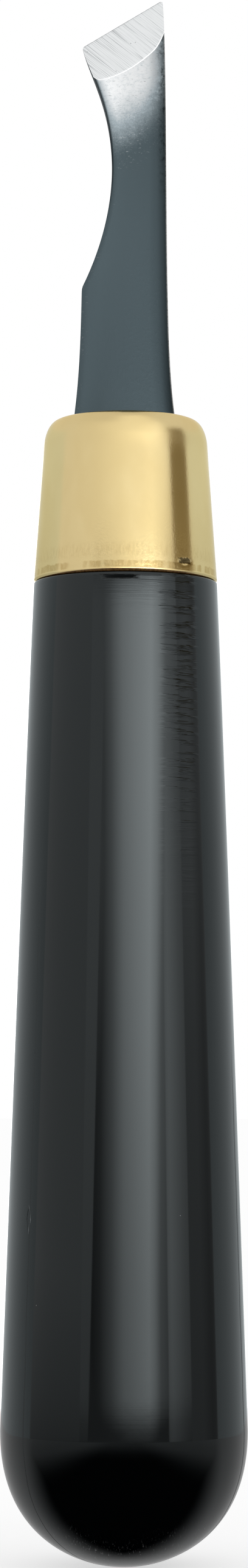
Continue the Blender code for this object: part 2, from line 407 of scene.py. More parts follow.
ROOF_LEFT = math.radians(-30)
ROOF_TOP = 520 * MM
ROOF_ACROSS = [(0.0, 0.72), (0.3, 0.94), (0.5, 1.0), (0.8, 0.95), (1.0, 0.75)]

FLAG_LEFT = math.radians(63)
FLAG_RIGHT = math.radians(94)
HIGH_FLAG_RIGHT = math.radians(91.5)
FLAG_MIDDLE = 115.5 * MM
FLAG_TOP = 178 * MM
FLAG_LIGHT = 1.15
FLAG_ACROSS = [(0.0, 1.0), (0.45, 0.92), (0.8, 0.58), (0.93, 0.60), (1.0, 0.80)]
FLAG_UPWARD = [(0.0, 0.36), (0.1, 0.40), (0.26, 0.47), (0.47, 0.58), (0.71, 0.83), (0.94, 0.96), (1.0, 0.6)]
HIGH_FLAG_UPWARD = [(0.0, 0.40), (0.2, 0.28), (1.0, 0.28)]
print("dark line from", round(math.degrees(FLAG_LEFT)), "to", round(math.degrees(FLAG_RIGHT)), "degrees")

# %% Side, front and rear cards
COOL_WHITE = (0.91, 0.98, 1.0, 1.0)
BROWN = (1.0, 0.83, 0.52, 1.0)
SIDE_NEAR = math.radians(94)
SIDE_FAR = math.radians(168)
SIDE_TOP = 160 * MM
LEFT_UPWARD = [(0.0, 0.66), (0.5, 0.71), (0.7, 0.88), (0.78, 0.98), (1.0, 1.02)]
RIGHT_UPWARD = [(0.0, 0.68), (0.48, 0.74), (0.7, 0.90), (0.78, 1.03), (1.0, 1.07)]
FRONT_UPWARD = [(0.0, 0.34), (0.04, 0.42), (0.08, 0.54), (0.2, 0.78), (0.6, 0.86), (1.0, 1.0)]

BACK_LEFT = math.radians(168)
BACK_RIGHT = math.radians(196)
BACK_LIGHT = 3.0
BACK_ACROSS = [(0.0, 0.3), (0.35, 1.0), (0.8, 1.0), (1.0, 0.4)]
print("side cards reach", round(SIDE_TOP / MM), "mm up")

# %% Hang the cards
card_plan = [
    ("upper_card", UPPER_LEFT, UPPER_RIGHT, KEY_TOP, UPPER_TOP, UPPER_ACROSS, EVEN, UPPER_LIGHT),
    ("roof_card", ROOF_LEFT, UPPER_RIGHT, UPPER_TOP, ROOF_TOP, ROOF_ACROSS, EVEN, UPPER_LIGHT),
    ("side_flag", FLAG_LEFT, FLAG_RIGHT, KEY_FOOT, FLAG_MIDDLE, FLAG_ACROSS, FLAG_UPWARD, FLAG_LIGHT),
    ("high_flag", FLAG_LEFT, HIGH_FLAG_RIGHT, FLAG_MIDDLE, FLAG_TOP, EVEN, HIGH_FLAG_UPWARD, PLAIN_LIGHT),
    ("right_card", SIDE_NEAR, SIDE_FAR, KEY_FOOT, SIDE_TOP, EVEN, RIGHT_UPWARD, PLAIN_LIGHT),
    ("left_card", -SIDE_FAR, -SIDE_NEAR, KEY_FOOT, SIDE_TOP, EVEN, LEFT_UPWARD, PLAIN_LIGHT),
    ("front_card", -SIDE_NEAR, KEY_LEFT, KEY_FOOT, KEY_TOP, EVEN, FRONT_UPWARD, PLAIN_LIGHT),
    ("rear_card", BACK_LEFT, BACK_RIGHT, KEY_FOOT, KEY_TOP, BACK_ACROSS, EVEN, BACK_LIGHT),
]
card_tints = {"right_card": COOL_WHITE, "left_card": COOL_WHITE, "high_flag": BROWN}
for name, left, right, foot, top, across, upward, strength in card_plan:
    mesh = card_mesh(name, left, right, foot, top, CARD_DISTANCE)
    hang(name, mesh, card_light(name, across, upward, strength, card_tints.get(name, WHITE)))
print("cards hung round the key card:", len(card_plan))

# %% [markdown]
# The butt is black below, with a soft upper limit: it mirrors a dark cloth that lies in front of the tool.
# A round card just over the floor does the same. In front it is black near the tool and grows lighter
# outwards. Behind a straight edge just in front of the tool it has the grey of a table in its own shade.

# %% Dark cloth in front of the tool
CLOTH_RADIUS = 165 * MM
CLOTH_LIFT = 0.3 * MM
CLOTH_LIGHT = [(0.0, 0.0), (0.28, 0.0), (0.36, 0.04), (0.44, 0.10), (0.6, 0.24), (0.72, 0.28), (1.0, 0.29)]
CLOTH_EDGE = -4.7 * MM
CLOTH_SOFT = 1.0 * MM
CLOTH_SPREAD = 0.22
CLOTH_SIDES = 64
BESIDE = (18 * MM, 60 * MM)
BESIDE_SHARE = 0.6
TABLE_GREY = (0.56, 0.56, 0.56, 1.0)


def cloth_dark():
    material, tree = bare_material("cloth_dark")
    here = own_place(tree)
    away = add_node(tree, "ShaderNodeVectorMath", {0: here}, operation="LENGTH").outputs["Value"]
    sides = own_sides(tree)
    sideways = calc(tree, "ABSOLUTE", sides["X"])
    soft = calc(tree, "ADD", product(tree, sideways, CLOTH_SPREAD), CLOTH_SOFT)
    behind = calc(tree, "DIVIDE", calc(tree, "SUBTRACT", sides["Y"], CLOTH_EDGE), soft)
    beside = spread(tree, sideways, *BESIDE, 0.0, BESIDE_SHARE)
    bare = calc(tree, "MAXIMUM", spread(tree, behind, -1.0, 1.0), beside)
    cloth = shades(tree, calc(tree, "DIVIDE", away, CLOTH_RADIUS), CLOTH_LIGHT)
    glow(tree, blend(tree, bare, cloth, TABLE_GREY))
    return material


hang("dark_cloth", disc_mesh("dark_cloth", CLOTH_RADIUS, CLOTH_LIFT, CLOTH_SIDES), cloth_dark())
hung = [thing.name for thing in bpy.data.objects if thing.name.endswith(("card", "flag", "cloth"))]
print("cards hung:", hung)

# %% [markdown]
# ## The key lamp
#
# One soft lamp from the upper right puts the pale spot on the ferrule's shoulder and a soft shadow on
# the floor. An area lamp is used, as a softbox is one: its size sets how soft the shadow is.

# %% Key lamp
LAMP_AZIMUTH = math.radians(36)
LAMP_RISE = math.radians(26)
LAMP_DISTANCE = 0.6
LAMP_SIZE = 0.12
LAMP_POWER = 0.09


def make_lamp():
    data = bpy.data.lights.new("softbox", "AREA")
    data.shape = "SQUARE"
    data.size = LAMP_SIZE
    data.energy = LAMP_POWER
    lamp = bpy.data.objects.new("softbox", data)
    level = LAMP_DISTANCE * math.cos(LAMP_RISE)
    rise = LAMP_DISTANCE * math.sin(LAMP_RISE)
    place = Vector((level * math.sin(LAMP_AZIMUTH), -level * math.cos(LAMP_AZIMUTH), rise))
    lamp.location = place + Vector((0.0, 0.0, AIM_HEIGHT))
    lamp.rotation_euler = (-place).to_track_quat("-Z", "Y").to_euler()
    bpy.context.scene.collection.objects.link(lamp)


make_lamp()
print("softbox of", LAMP_POWER, "W")

# %% [markdown]
# ## Turned pieces
#
# The handle is turned on a lathe and the ferrule is drawn round a punch, so both are an outline swung
# round the axis. The Screw modifier would do it. Here a function lays the rings itself, because then the
# points of a ring can be nudged in or out a little, where the real piece isn't quite round.

# %% Swing an outline round the axis


def bezier(start, start_pull, end_pull, end, steps):
    """Points from start to end, drawn towards start + start_pull and end + end_pull."""
    start = Vector(start)
    end = Vector(end)
    first_handle = start + Vector(start_pull)
    last_handle = end + Vector(end_pull)
    return geometry.interpolate_bezier(start, first_handle, last_handle, end, steps + 1)


def smooth_step(low, high, value):
    """0 at low, 1 at high, and eased between them."""
    share = min(max((value - low) / (high - low), 0.0), 1.0)
    return share * share * (3 - 2 * share)


def turned_mesh(name, outline, columns, nudge=None):
    """Rings of (radius, height) points, closed on the axis at both ends. nudge may change each radius."""
    points = [(0.0, 0.0, outline[0][1])]
    for radius, height in outline[1:-1]:
        for column in range(columns):
            angle = 2 * math.pi * column / columns
            reach = nudge(radius, height, angle) if nudge else radius
            points.append((reach * math.sin(angle), -reach * math.cos(angle), height))
    points.append((0.0, 0.0, outline[-1][1]))
    faces = []
    last = len(points) - 1
    rings = len(outline) - 2
    for column in range(columns):
        after = (column + 1) % columns
        faces.append((0, 1 + column, 1 + after))
        foot = 1 + (rings - 1) * columns
        faces.append((last, foot + after, foot + column))
        for ring in range(rings - 1):
            upper = 1 + ring * columns
            lower = upper + columns
            faces.append((upper + column, lower + column, lower + after, upper + after))
    mesh = bpy.data.meshes.new(name)
    mesh.from_pydata(points, [], faces)
    return mesh


print("turning helpers ready")

# %% Put a piece in its place


def add_piece(name, mesh, material, node, sharp_angle):
    """Shades a mesh smooth but for its sharp edges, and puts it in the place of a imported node."""
    mesh.materials.append(material)
    mesh.shade_smooth()
    mesh.set_sharp_from_angle(angle=sharp_angle)
    piece = bpy.data.objects.new(name, mesh)
    bpy.context.scene.collection.objects.link(piece)
    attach(piece, "root")
    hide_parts(node)
    print(name, "has", len(mesh.polygons), "faces")


# %% [markdown]
# ## The handle's shape
#
# One long taper runs from the ferrule down to a full, round belly. Two curves draw it: one from the neck
# to the widest point, and one round the butt. The neck is as wide as the ferrule's mouth, with its edge
# just broken, and a spigot goes up into the ferrule.

# %% Handle mesh
FIT_GAP = 0.3 * MM
BELLY_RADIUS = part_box("handle")[1].x
BELLY_HEIGHT = 11.6 * MM
BELLY_BLEND = 0.8 * MM
BUTT_SIDE_PULL = 0.80
BUTT_END_PULL = 0.35
MOUTH_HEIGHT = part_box("ferrule")[0].z
MOUTH_RADIUS = 8.1 * MM
NECK_GAP = 0.05 * MM
HANDLE_LENGTH = MOUTH_HEIGHT - NECK_GAP
NECK_RADIUS = MOUTH_RADIUS
NECK_ROUND = 0.14 * MM
NECK_LEAN = math.radians(2.65)
NECK_BLEND = 11.2 * MM
SPIGOT_RADIUS = 6.4 * MM
SPIGOT_LENGTH = 12.0 * MM
HANDLE_COLUMNS = 192
NECK_STEPS = 6
TAPER_STEPS = 130
BUTT_STEPS = 48


def handle_outline():
    spigot_top = HANDLE_LENGTH + SPIGOT_LENGTH
    points = [(0.0, spigot_top), (SPIGOT_RADIUS - NECK_ROUND, spigot_top)]
    points.append((SPIGOT_RADIUS, spigot_top - NECK_ROUND))
    points.append((SPIGOT_RADIUS, HANDLE_LENGTH))
    pull = NECK_ROUND / 2
    neck = Vector((NECK_RADIUS, HANDLE_LENGTH - NECK_ROUND, 0.0))
    shoulder = (NECK_RADIUS - NECK_ROUND, HANDLE_LENGTH, 0.0)
    belly = Vector((BELLY_RADIUS, BELLY_HEIGHT, 0.0))
    drawn = bezier(shoulder, (pull, 0.0, 0.0), (0.0, pull, 0.0), neck, NECK_STEPS)
    into_taper = (NECK_BLEND * math.tan(NECK_LEAN), -NECK_BLEND, 0.0)
    drawn += bezier(neck, into_taper, (0.0, BELLY_BLEND, 0.0), belly, TAPER_STEPS)[1:]
    side_pull = (0.0, -BUTT_SIDE_PULL * BELLY_HEIGHT, 0.0)
    end_pull = (BUTT_END_PULL * BELLY_RADIUS, 0.0, 0.0)
    drawn += bezier(belly, side_pull, end_pull, (0.0, 0.0, 0.0), BUTT_STEPS)[1:]
    return points + [(point.x, point.y) for point in drawn]


handle_mesh = turned_mesh("lacquered_handle", handle_outline(), HANDLE_COLUMNS)
print("handle turned", round(HANDLE_LENGTH / MM, 1), "mm long")

# %% [markdown]
# ## Noise for finishes
#
# Turning lines, grain, scratches and dust all look random, so they are made from noise. A noise is given
# as its cells per metre along X, Y and Z, its layers of detail and its roughness: many cells along one
# axis and few along the others turn it into lines. It runs from 0 to 1, but most of it lies near the
# middle, so a mask is cut from a narrow run there. Bump nodes turn a noise into relief that is too small
# for the mesh.

# %% Noise, specks and relief
UM = 0.001 * MM
MIDDLE_RUN = (0.3, 0.7)
WIDE_RUN = (0.2, 0.8)
EMPTY_CELLS = 0.8


def stretched_noise(tree, per_metre, detail=3.0, roughness=0.55):
    """Noise with its own number of cells per metre along each axis, as a socket from 0 to 1."""
    scaled = add_node(tree, "ShaderNodeMapping", {"Vector": own_place(tree), "Scale": per_metre}).outputs[0]
    inputs = {"Vector": scaled, "Scale": 1.0, "Detail": detail, "Roughness": roughness}
    return add_node(tree, "ShaderNodeTexNoise", inputs).outputs["Fac"]


def wander(tree, value, size):
    """A noise value brought to run about zero, with a size."""
    return product(tree, calc(tree, "SUBTRACT", value, 0.5), size)


def specks(tree, per_metre, size):
    """1 inside small scattered dots, and 0 elsewhere. Most cells of the pattern stay empty."""
    cells = add_node(tree, "ShaderNodeTexVoronoi", {"Vector": own_place(tree), "Scale": per_metre})
    draw = add_node(tree, "ShaderNodeSeparateColor", {0: cells.outputs["Color"]}).outputs["Red"]
    inside = calc(tree, "LESS_THAN", cells.outputs["Distance"], size)
    return product(tree, inside, calc(tree, "GREATER_THAN", draw, EMPTY_CELLS))


def bump(tree, height, depth, below=None):
    """Surface relief of a depth in metres, over another relief if one is given."""
    inputs = {"Height": height, "Distance": depth, "Strength": 1.0}
    if below is not None:
        inputs["Normal"] = below
    return add_node(tree, "ShaderNodeBump", inputs).outputs["Normal"]


print("noise helpers ready")

# %% Places on a piece


def height_above(tree, level):
    """How far a point lies above a level of the model."""
    return calc(tree, "SUBTRACT", own_sides(tree)["Z"], level)


def turned_sides(tree, angle):
    """Where a point lies, as X, Y and Z, after a turn that brings an angle to the front."""
    inputs = {"Vector": own_place(tree), "Rotation": (0.0, 0.0, -angle)}
    turned = add_node(tree, "ShaderNodeMapping", inputs).outputs[0]
    return add_node(tree, "ShaderNodeSeparateXYZ", {0: turned}).outputs


def in_front(tree, sides):
    """1 on the near half of the tool and 0 on the far half."""
    return calc(tree, "LESS_THAN", sides["Y"], 0.0)


def away_from_zero(tree, value, size):
    """How far a value lies from zero, as a share of a size."""
    return calc(tree, "ABSOLUTE", calc(tree, "DIVIDE", value, size))


def new_finish(name):
    """A material with only its surface shader, its tree and that shader."""
    material = bpy.data.materials.new(name)
    material.use_nodes = True
    return material, material.node_tree, material.node_tree.nodes["Principled BSDF"]


print("place helpers ready")

# %% [markdown]
# ## Marks in the lacquer
#
# Three marks sit in one place only. Just under the ferrule, in front, the lathe tool left a short mark
# that faces down, so it mirrors the dark. Low on the left side there is a small upright dent. On each side
# the lacquer ran and dried dull along a thin upright line. Each mark is a mask: how far a point lies from
# the mark's middle, with some noise added so that its outline is ragged.

# %% Lathe mark
MARK_PLACE = -0.55 * MM
MARK_HEIGHT = MOUTH_HEIGHT - 0.50 * MM
MARK_SIZE = (1.55 * MM, 0.21 * MM)
MARK_TAPER = 0.12
MARK_NOISE = ((300.0, 300.0, 9000.0), 3.0, 0.7)
MARK_RAGGED = 1.2
MARK_EDGE = (1.15, 0.8)
MARK_SLOPE = 0.6


def tool_mark(tree):
    """Height of the mark, in metres: it slopes inside the mark and is 0 elsewhere."""
    sides = own_sides(tree)
    across = calc(tree, "DIVIDE", calc(tree, "SUBTRACT", sides["X"], MARK_PLACE), MARK_SIZE[0])
    upward = calc(tree, "SUBTRACT", sides["Z"], MARK_HEIGHT)
    along = away_from_zero(tree, upward, MARK_SIZE[1])
    along = calc(tree, "ADD", along, product(tree, across, MARK_TAPER))
    reach = calc(tree, "MAXIMUM", calc(tree, "ABSOLUTE", across), along)
    ragged = wander(tree, stretched_noise(tree, *MARK_NOISE), MARK_RAGGED)
    inside = spread(tree, calc(tree, "ADD", reach, ragged), *MARK_EDGE)
    return product(tree, inside, in_front(tree, sides), upward)


print("lathe mark in mm:", [round(2 * size / MM, 2) for size in MARK_SIZE])

# %% Dent and dull runs
DENT_ANGLE = math.radians(-54)
DENT_HEIGHT = 30 * MM
DENT_SIZE = (0.26 * MM, 1.1 * MM)
DENT_DEPTH = 0.05 * MM
DENT_NOISE = ((1500.0, 1500.0, 900.0), 2.0)
DENT_RAGGED = 1.2
DENT_EDGE = (1.2, 0.7)
RUN_PLACES = [(math.radians(-53), 0.11 * MM, 66 * MM), (math.radians(74), 0.2 * MM, 50 * MM)]
RUN_NOISE = ((0.0, 0.0, 160.0), 3.0)
RUN_SWAY = 0.5 * MM
RUN_FADE = 12 * MM
RUN_ROUGHNESS = 0.4


def dent(tree):
    """1 inside the dent, 0 elsewhere."""
    sides = turned_sides(tree, DENT_ANGLE)
    across = away_from_zero(tree, sides["X"], DENT_SIZE[0])
    along = away_from_zero(tree, calc(tree, "SUBTRACT", sides["Z"], DENT_HEIGHT), DENT_SIZE[1])
    ragged = wander(tree, stretched_noise(tree, *DENT_NOISE), DENT_RAGGED)
    reach = calc(tree, "ADD", calc(tree, "ADD", across, along), ragged)
    return product(tree, spread(tree, reach, *DENT_EDGE), in_front(tree, sides))


def dull_run(tree, angle, width, top):
    """1 along a thin upright line that ends at a height. 0 elsewhere."""
    sides = turned_sides(tree, angle)
    sway = wander(tree, stretched_noise(tree, *RUN_NOISE), RUN_SWAY)
    across = calc(tree, "ABSOLUTE", calc(tree, "ADD", sides["X"], sway))
    line = spread(tree, across, width, width / 2)
    return product(tree, line, in_front(tree, sides), spread(tree, sides["Z"], top, top - RUN_FADE))


print("dent in mm:", [round(2 * size / MM, 2) for size in DENT_SIZE])

# %% [markdown]
# ## Black lacquer
#
# Gloss black is nearly all reflection, so the colour under it is close to nothing and the work is in the
# surface. Fine turning lines from the lathe show through near the ferrule and fade downwards. On the
# right of the neck the tool chattered and left coarser ones. There is a slight orange peel, a few specks
# of dust under the lacquer, and fine scratches round the butt where the tool is stood down.

# %% Relief of the lacquer
TURNING_NOISE = ((60.0, 60.0, 4200.0), 4.0, 0.7)
TURNING_FADE = (50 * MM, 84 * MM)
TURNING_LEAST = 0.15
TURNING_DEPTH = 2.5 * UM
CHATTER_NOISE = ((150.0, 150.0, 2100.0), 3.0, 0.6)
CHATTER_CUT = (0.46, 0.66)
CHATTER_LEFT = (2.6 * MM, 4.6 * MM)
CHATTER_RIGHT = (6.4 * MM, 5.8 * MM)
CHATTER_DEPTH = 30 * UM
SCRATCH_NOISE = ((9000.0, 900.0, 2500.0), 3.0, 0.8)
SCRATCH_CUT = (0.62, 0.7)
SCRATCH_FADE = (6 * MM, 1 * MM)
SCRATCH_DEPTH = 14 * UM
PEEL_NOISE = ((900.0, 900.0, 900.0), 2.0)
PEEL_DEPTH = 0.6 * UM


def lacquer_relief(tree):
    """All the relief of the lacquer, laid one over the other."""
    upward = height_above(tree, 0.0)
    near_neck = spread(tree, upward, *TURNING_FADE)
    fading = spread(tree, near_neck, 0.0, 1.0, TURNING_LEAST, 1.0)
    turning = product(tree, stretched_noise(tree, *TURNING_NOISE), fading)
    rightward = own_sides(tree)["X"]
    chatter = spread(tree, stretched_noise(tree, *CHATTER_NOISE), *CHATTER_CUT)
    chatter = product(tree, chatter, spread(tree, rightward, *CHATTER_LEFT))
    chatter = product(tree, chatter, spread(tree, rightward, *CHATTER_RIGHT), near_neck)
    scratched = spread(tree, stretched_noise(tree, *SCRATCH_NOISE), *SCRATCH_CUT)
    scratched = product(tree, scratched, spread(tree, upward, *SCRATCH_FADE))
    relief = bump(tree, stretched_noise(tree, *PEEL_NOISE), PEEL_DEPTH)
    relief = bump(tree, turning, TURNING_DEPTH, relief)
    relief = bump(tree, chatter, CHATTER_DEPTH, relief)
    relief = bump(tree, scratched, SCRATCH_DEPTH, relief)
    relief = bump(tree, dent(tree), -DENT_DEPTH, relief)
    return bump(tree, tool_mark(tree), MARK_SLOPE, relief)


print("turning lines in mm:", round(TURNING_DEPTH / MM, 4), "deep")

# %% Lacquer
LACQUER_COLOUR = (0.0012, 0.0016, 0.0018, 1.0)
LACQUER_TINT = (0.88, 0.98, 1.0, 1.0)
LACQUER_IOR = 1.45
LACQUER_ROUGHNESS = (0.045, 0.085)
HAZE_NOISE = ((250.0, 250.0, 250.0), 4.0)
DUST_COLOUR = (0.22, 0.23, 0.23, 1.0)
DUST_PER_METRE = 420.0
DUST_SIZE = 0.02
HANDLE_SHARP = math.radians(40)


def black_lacquer():
    material, tree, shader = new_finish("black_lacquer")
    dust = specks(tree, DUST_PER_METRE, DUST_SIZE)
    tree.links.new(blend(tree, dust, LACQUER_COLOUR, DUST_COLOUR), shader.inputs["Base Color"])
    tree.links.new(lacquer_relief(tree), shader.inputs["Normal"])
    roughness = spread(tree, stretched_noise(tree, *HAZE_NOISE), *WIDE_RUN, *LACQUER_ROUGHNESS)
    for angle, width, top in RUN_PLACES:
        dull = product(tree, dull_run(tree, angle, width, top), RUN_ROUGHNESS)
        roughness = calc(tree, "ADD", roughness, dull)
    tree.links.new(roughness, shader.inputs["Roughness"])
    shader.inputs["IOR"].default_value = LACQUER_IOR
    shader.inputs["Specular Tint"].default_value = LACQUER_TINT
    return material


add_piece("lacquered_handle", handle_mesh, black_lacquer(), "handle", HANDLE_SHARP)

# %% [markdown]
# ## The ferrule's shape
#
# A cup drawn from sheet brass: a flat top, a rounded shoulder and a wall that widens towards the mouth.
# The mouth is crimped onto the wood. The crimping tool left a very shallow band of uneven facets with a
# ragged upper edge, a bright rounded lip below it, and one folded place on the right.

# %% Ferrule outline
FERRULE_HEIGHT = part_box("ferrule")[1].z - MOUTH_HEIGHT
FERRULE_TAPER = math.radians(4.1)
FERRULE_WALL = 0.8 * MM
SHOULDER_RISE = 2.5 * MM
SHOULDER_RUN = 1.26 * MM
LEAST_ROUND = 0.1 * MM
CRIMP_ZONE = 2.0 * MM
LIP_HEIGHT = 0.30 * MM
LIP_TUCK = 0.24 * MM
TOP_SHARES = (0.5, 0.8, 0.95)
SHOULDER_STEPS = 28
INNER_STEPS = 6
WALL_STEPS = 20
CRIMP_STEPS = 32
LIP_STEPS = 6


def wall_radius(level):
    """Outer radius of the wall at a level above the mouth."""
    return MOUTH_RADIUS - level * math.tan(FERRULE_TAPER)


def cup_outline(inset, steps):
    """The cup's shape from the axis to where its shoulder runs into the wall, brought in by inset."""
    top = FERRULE_HEIGHT - inset
    rise = max(SHOULDER_RISE - inset, LEAST_ROUND)
    run = max(SHOULDER_RUN - inset, LEAST_ROUND)
    foot = math.atan(math.tan(FERRULE_TAPER) * rise / run)
    flat = wall_radius(top - rise + rise * math.sin(foot)) - inset - run * math.cos(foot)
    points = [(0.0, top)]
    points += [(flat * share, top) for share in TOP_SHARES]
    for step in range(steps + 1):
        angle = math.pi / 2 + (foot - math.pi / 2) * step / steps
        points.append((flat + run * math.cos(angle), top - rise + rise * math.sin(angle)))
    return points


def down_the_wall(top, foot, steps):
    """Points down the wall to a level, evenly spaced."""
    levels = [top + (foot - top) * step / steps for step in range(1, steps + 1)]
    return [(wall_radius(level), level) for level in levels]


def ferrule_outline():
    points = cup_outline(0.0, SHOULDER_STEPS)
    points += down_the_wall(points[-1][1], CRIMP_ZONE, WALL_STEPS)
    points += down_the_wall(CRIMP_ZONE, LIP_HEIGHT, CRIMP_STEPS)
    for step in range(1, LIP_STEPS + 1):
        angle = math.pi / 2 * step / LIP_STEPS
        tuck = LIP_TUCK * (1 - math.cos(angle))
        points.append((wall_radius(0.0) - tuck, LIP_HEIGHT * (1 - math.sin(angle))))
    points.append((wall_radius(0.0) - FERRULE_WALL, 0.0))
    inner = cup_outline(FERRULE_WALL, INNER_STEPS)
    return [(radius, MOUTH_HEIGHT + level) for radius, level in points + inner[::-1]]


ferrule_points = ferrule_outline()
print("ferrule outline points:", len(ferrule_points))

# %% Crimped mesh
FERRULE_COLUMNS = 320
CRIMP_HEIGHT = 0.72 * MM
CRIMP_DEPTH = 0.001 * MM
CRIMP_SOFT = 0.3 * MM
RAGGED_HEIGHT = 0.1 * MM
RAGGED_PER_FACET = 2.0
FACETS = 46
FACET_DEPTH = 0.003 * MM
FACET_CUT = (-0.2, 0.3)
FACET_DRAW = Vector((0.0, 0.0, 7.0))
FOLD_ANGLE = math.radians(40)
FOLD_HEIGHT = 0.95 * MM
FOLD_DEPTH = 0.09 * MM
FOLD_SIZE = (0.55 * MM, 0.22 * MM)
FOLD_SLANT = 0.25


def fold_depth(level, reach, angle):
    """How far the fold at the right pulls the wall in."""
    turn = (angle + math.pi) % (2 * math.pi) - math.pi
    across = (turn - FOLD_ANGLE) * reach / FOLD_SIZE[0]
    along = (level - FOLD_HEIGHT) / FOLD_SIZE[1] - FOLD_SLANT * across
    return FOLD_DEPTH * math.exp(-across * across - along * along)


def crimped(radius, height, angle):
    """The radius of the wall once the crimping tool has pressed it."""
    level = height - MOUTH_HEIGHT
    outside = radius > wall_radius(level) - FERRULE_WALL / 2
    if not outside or level > CRIMP_ZONE:
        return radius
    ring = Vector((math.cos(angle), math.sin(angle), 0.0)) * FACETS / (2 * math.pi)
    facet = smooth_step(*FACET_CUT, noise.noise(ring + FACET_DRAW))
    band_top = CRIMP_HEIGHT + RAGGED_HEIGHT * noise.noise(ring * RAGGED_PER_FACET)
    pressed = smooth_step(band_top, band_top - CRIMP_SOFT, level) * smooth_step(0.0, LIP_HEIGHT, level)
    depth = CRIMP_DEPTH + FACET_DEPTH * facet
    return radius - depth * pressed - fold_depth(level, radius, angle)


ferrule_mesh = turned_mesh("brass_ferrule", ferrule_points, FERRULE_COLUMNS, crimped)
print("ferrule drawn", round(FERRULE_HEIGHT / MM, 1), "mm high")

# %% [markdown]
# ## Brass
#
# The brass is drawn and lightly polished, not mirror bright: reflections have soft edges and a fine
# grain. Drag marks run up from the crimp, where the tool scraped the wall. The crimp's patches are dull,
# the hollow over the fold is darkened with painted shade, and under the lip brown glue, darkened with
# painted shade of the gap, lies in a line that grows thin towards the sides. Noise stretched along the
# wall makes the marks, and a mask by height keeps each in its place.

# %% Marks of the crimp
STREAK_NOISE = ((5200.0, 5200.0, 1300.0), 3.0, 0.7)
DRAG_TOP = (2.9 * MM, 1.9 * MM)
DRAG_FOOT = (1.1 * MM, 1.6 * MM)
DRAG_CUT = (0.35, 0.7)
BAND_NOISE = ((2600.0, 2600.0, 2600.0), 3.0)
BAND_RAGGED = 0.45 * MM
BAND_TOP = (0.98 * MM, 0.84 * MM)
BAND_FOOT = (0.26 * MM, 0.40 * MM)
BAND_CUT = (0.25, 0.65)
BAND_LEAST = 0.45
PATCH_NOISE = ((760.0, 760.0, 150.0), 2.0)
PATCH_CUT = (0.44, 0.55)


def drag_marks(tree, level, streaks):
    """1 along the streaks just over the crimp, 0 elsewhere."""
    zone = product(tree, spread(tree, level, *DRAG_TOP), spread(tree, level, *DRAG_FOOT))
    return product(tree, zone, spread(tree, streaks, *DRAG_CUT))


def dull_patches(tree, level, streaks):
    """1 on the patches that the crimping tool pressed, 0 elsewhere."""
    ragged = wander(tree, stretched_noise(tree, *BAND_NOISE), BAND_RAGGED)
    under_top = spread(tree, calc(tree, "ADD", level, ragged), *BAND_TOP)
    patches = spread(tree, stretched_noise(tree, *PATCH_NOISE), *PATCH_CUT)
    streaked = spread(tree, streaks, *BAND_CUT, BAND_LEAST, 1.0)
    return product(tree, under_top, spread(tree, level, *BAND_FOOT), patches, streaked)


print("dull band ends", round(BAND_TOP[0] / MM, 2), "mm over the mouth")

# %% Painted shade in the fold, and glue with painted shade under the lip
# A dark colour for painted shade in the hollow over the fold.
FOLD_SHADE = (0.05, 0.035, 0.014, 1.0)
FOLD_SHADE_HEIGHT = 1.12 * MM
FOLD_SHADE_SIZE = (0.74 * MM, 0.28 * MM)
FOLD_SHADE_NOISE = ((5000.0, 5000.0, 5000.0), 3.0, 0.7)
FOLD_SHADE_RAGGED = 1.4
FOLD_SHADE_EDGE = (1.1, 0.6)
FOLD_SHADE_SHARE = 0.9
# Glue under the lip, darkened with painted shade of the gap: where it ends and how it thins to the sides.
GLUE_AND_SHADE_EDGE = (0.25 * MM, 0.19 * MM)
GLUE_AND_SHADE_THINNING = 3.6


def fold_shade(tree):
    """Share of painted shade: most in the hollow over the fold, and 0 elsewhere."""
    sides = turned_sides(tree, FOLD_ANGLE)
    across = away_from_zero(tree, sides["X"], FOLD_SHADE_SIZE[0])
    above = calc(tree, "SUBTRACT", sides["Z"], MOUTH_HEIGHT + FOLD_SHADE_HEIGHT)
    along = away_from_zero(tree, above, FOLD_SHADE_SIZE[1])
    ragged = wander(tree, stretched_noise(tree, *FOLD_SHADE_NOISE), FOLD_SHADE_RAGGED)
    reach = calc(tree, "ADD", calc(tree, "MAXIMUM", across, along), ragged)
    return product(tree, spread(tree, reach, *FOLD_SHADE_EDGE, 0.0, FOLD_SHADE_SHARE), in_front(tree, sides))


def glue_and_shade_line(tree, level):
    """1 on the line under the lip, glue darkened with painted shade of the gap, and 0 elsewhere."""
    aside = own_sides(tree)["X"]
    thinning = product(tree, aside, aside, GLUE_AND_SHADE_THINNING)
    return spread(tree, calc(tree, "ADD", level, thinning), *GLUE_AND_SHADE_EDGE)


# This dark patch is painted shade in the hollow over the fold.
print("dirt in mm:", [round(2 * size / MM, 2) for size in FOLD_SHADE_SIZE])

# %% Brass finish
BRASS_COLOUR = (0.61, 0.478, 0.232, 1.0)
BRASS_PALE = (0.64, 0.51, 0.26, 1.0)
BRASS_TINT = (0.93, 0.86, 0.70, 1.0)
BRASS_ROUGHNESS = (0.12, 0.17)
PRESSED = (0.47, 0.345, 0.145, 1.0)
# Colours of the line under the lip: glue, darkened with painted shade of the gap.
GLUE_AND_SHADE_DARK = (0.11, 0.047, 0.012, 1.0)
GLUE_AND_SHADE_PALE = (0.27, 0.14, 0.045, 1.0)
CLOUD_NOISE = ((220.0, 220.0, 120.0), 3.0)
CLOUD_CUT = (0.35, 0.7)
DRAG_SHARE = 0.36
DRAG_DEPTH = 1.2 * UM
GRAIN_NOISE = ((9000.0, 9000.0, 6000.0), 2.0)
GRAIN_DEPTH = 4.0 * UM
DRAWN_NOISE = ((3000.0, 3000.0, 250.0), 2.0)
DRAWN_DEPTH = 0.5 * UM
SHOULDER_DULL = 0.09
SHOULDER_FADE = (FERRULE_HEIGHT - 4.0 * MM, FERRULE_HEIGHT - 2.0 * MM)
FERRULE_SHARP = math.radians(50)


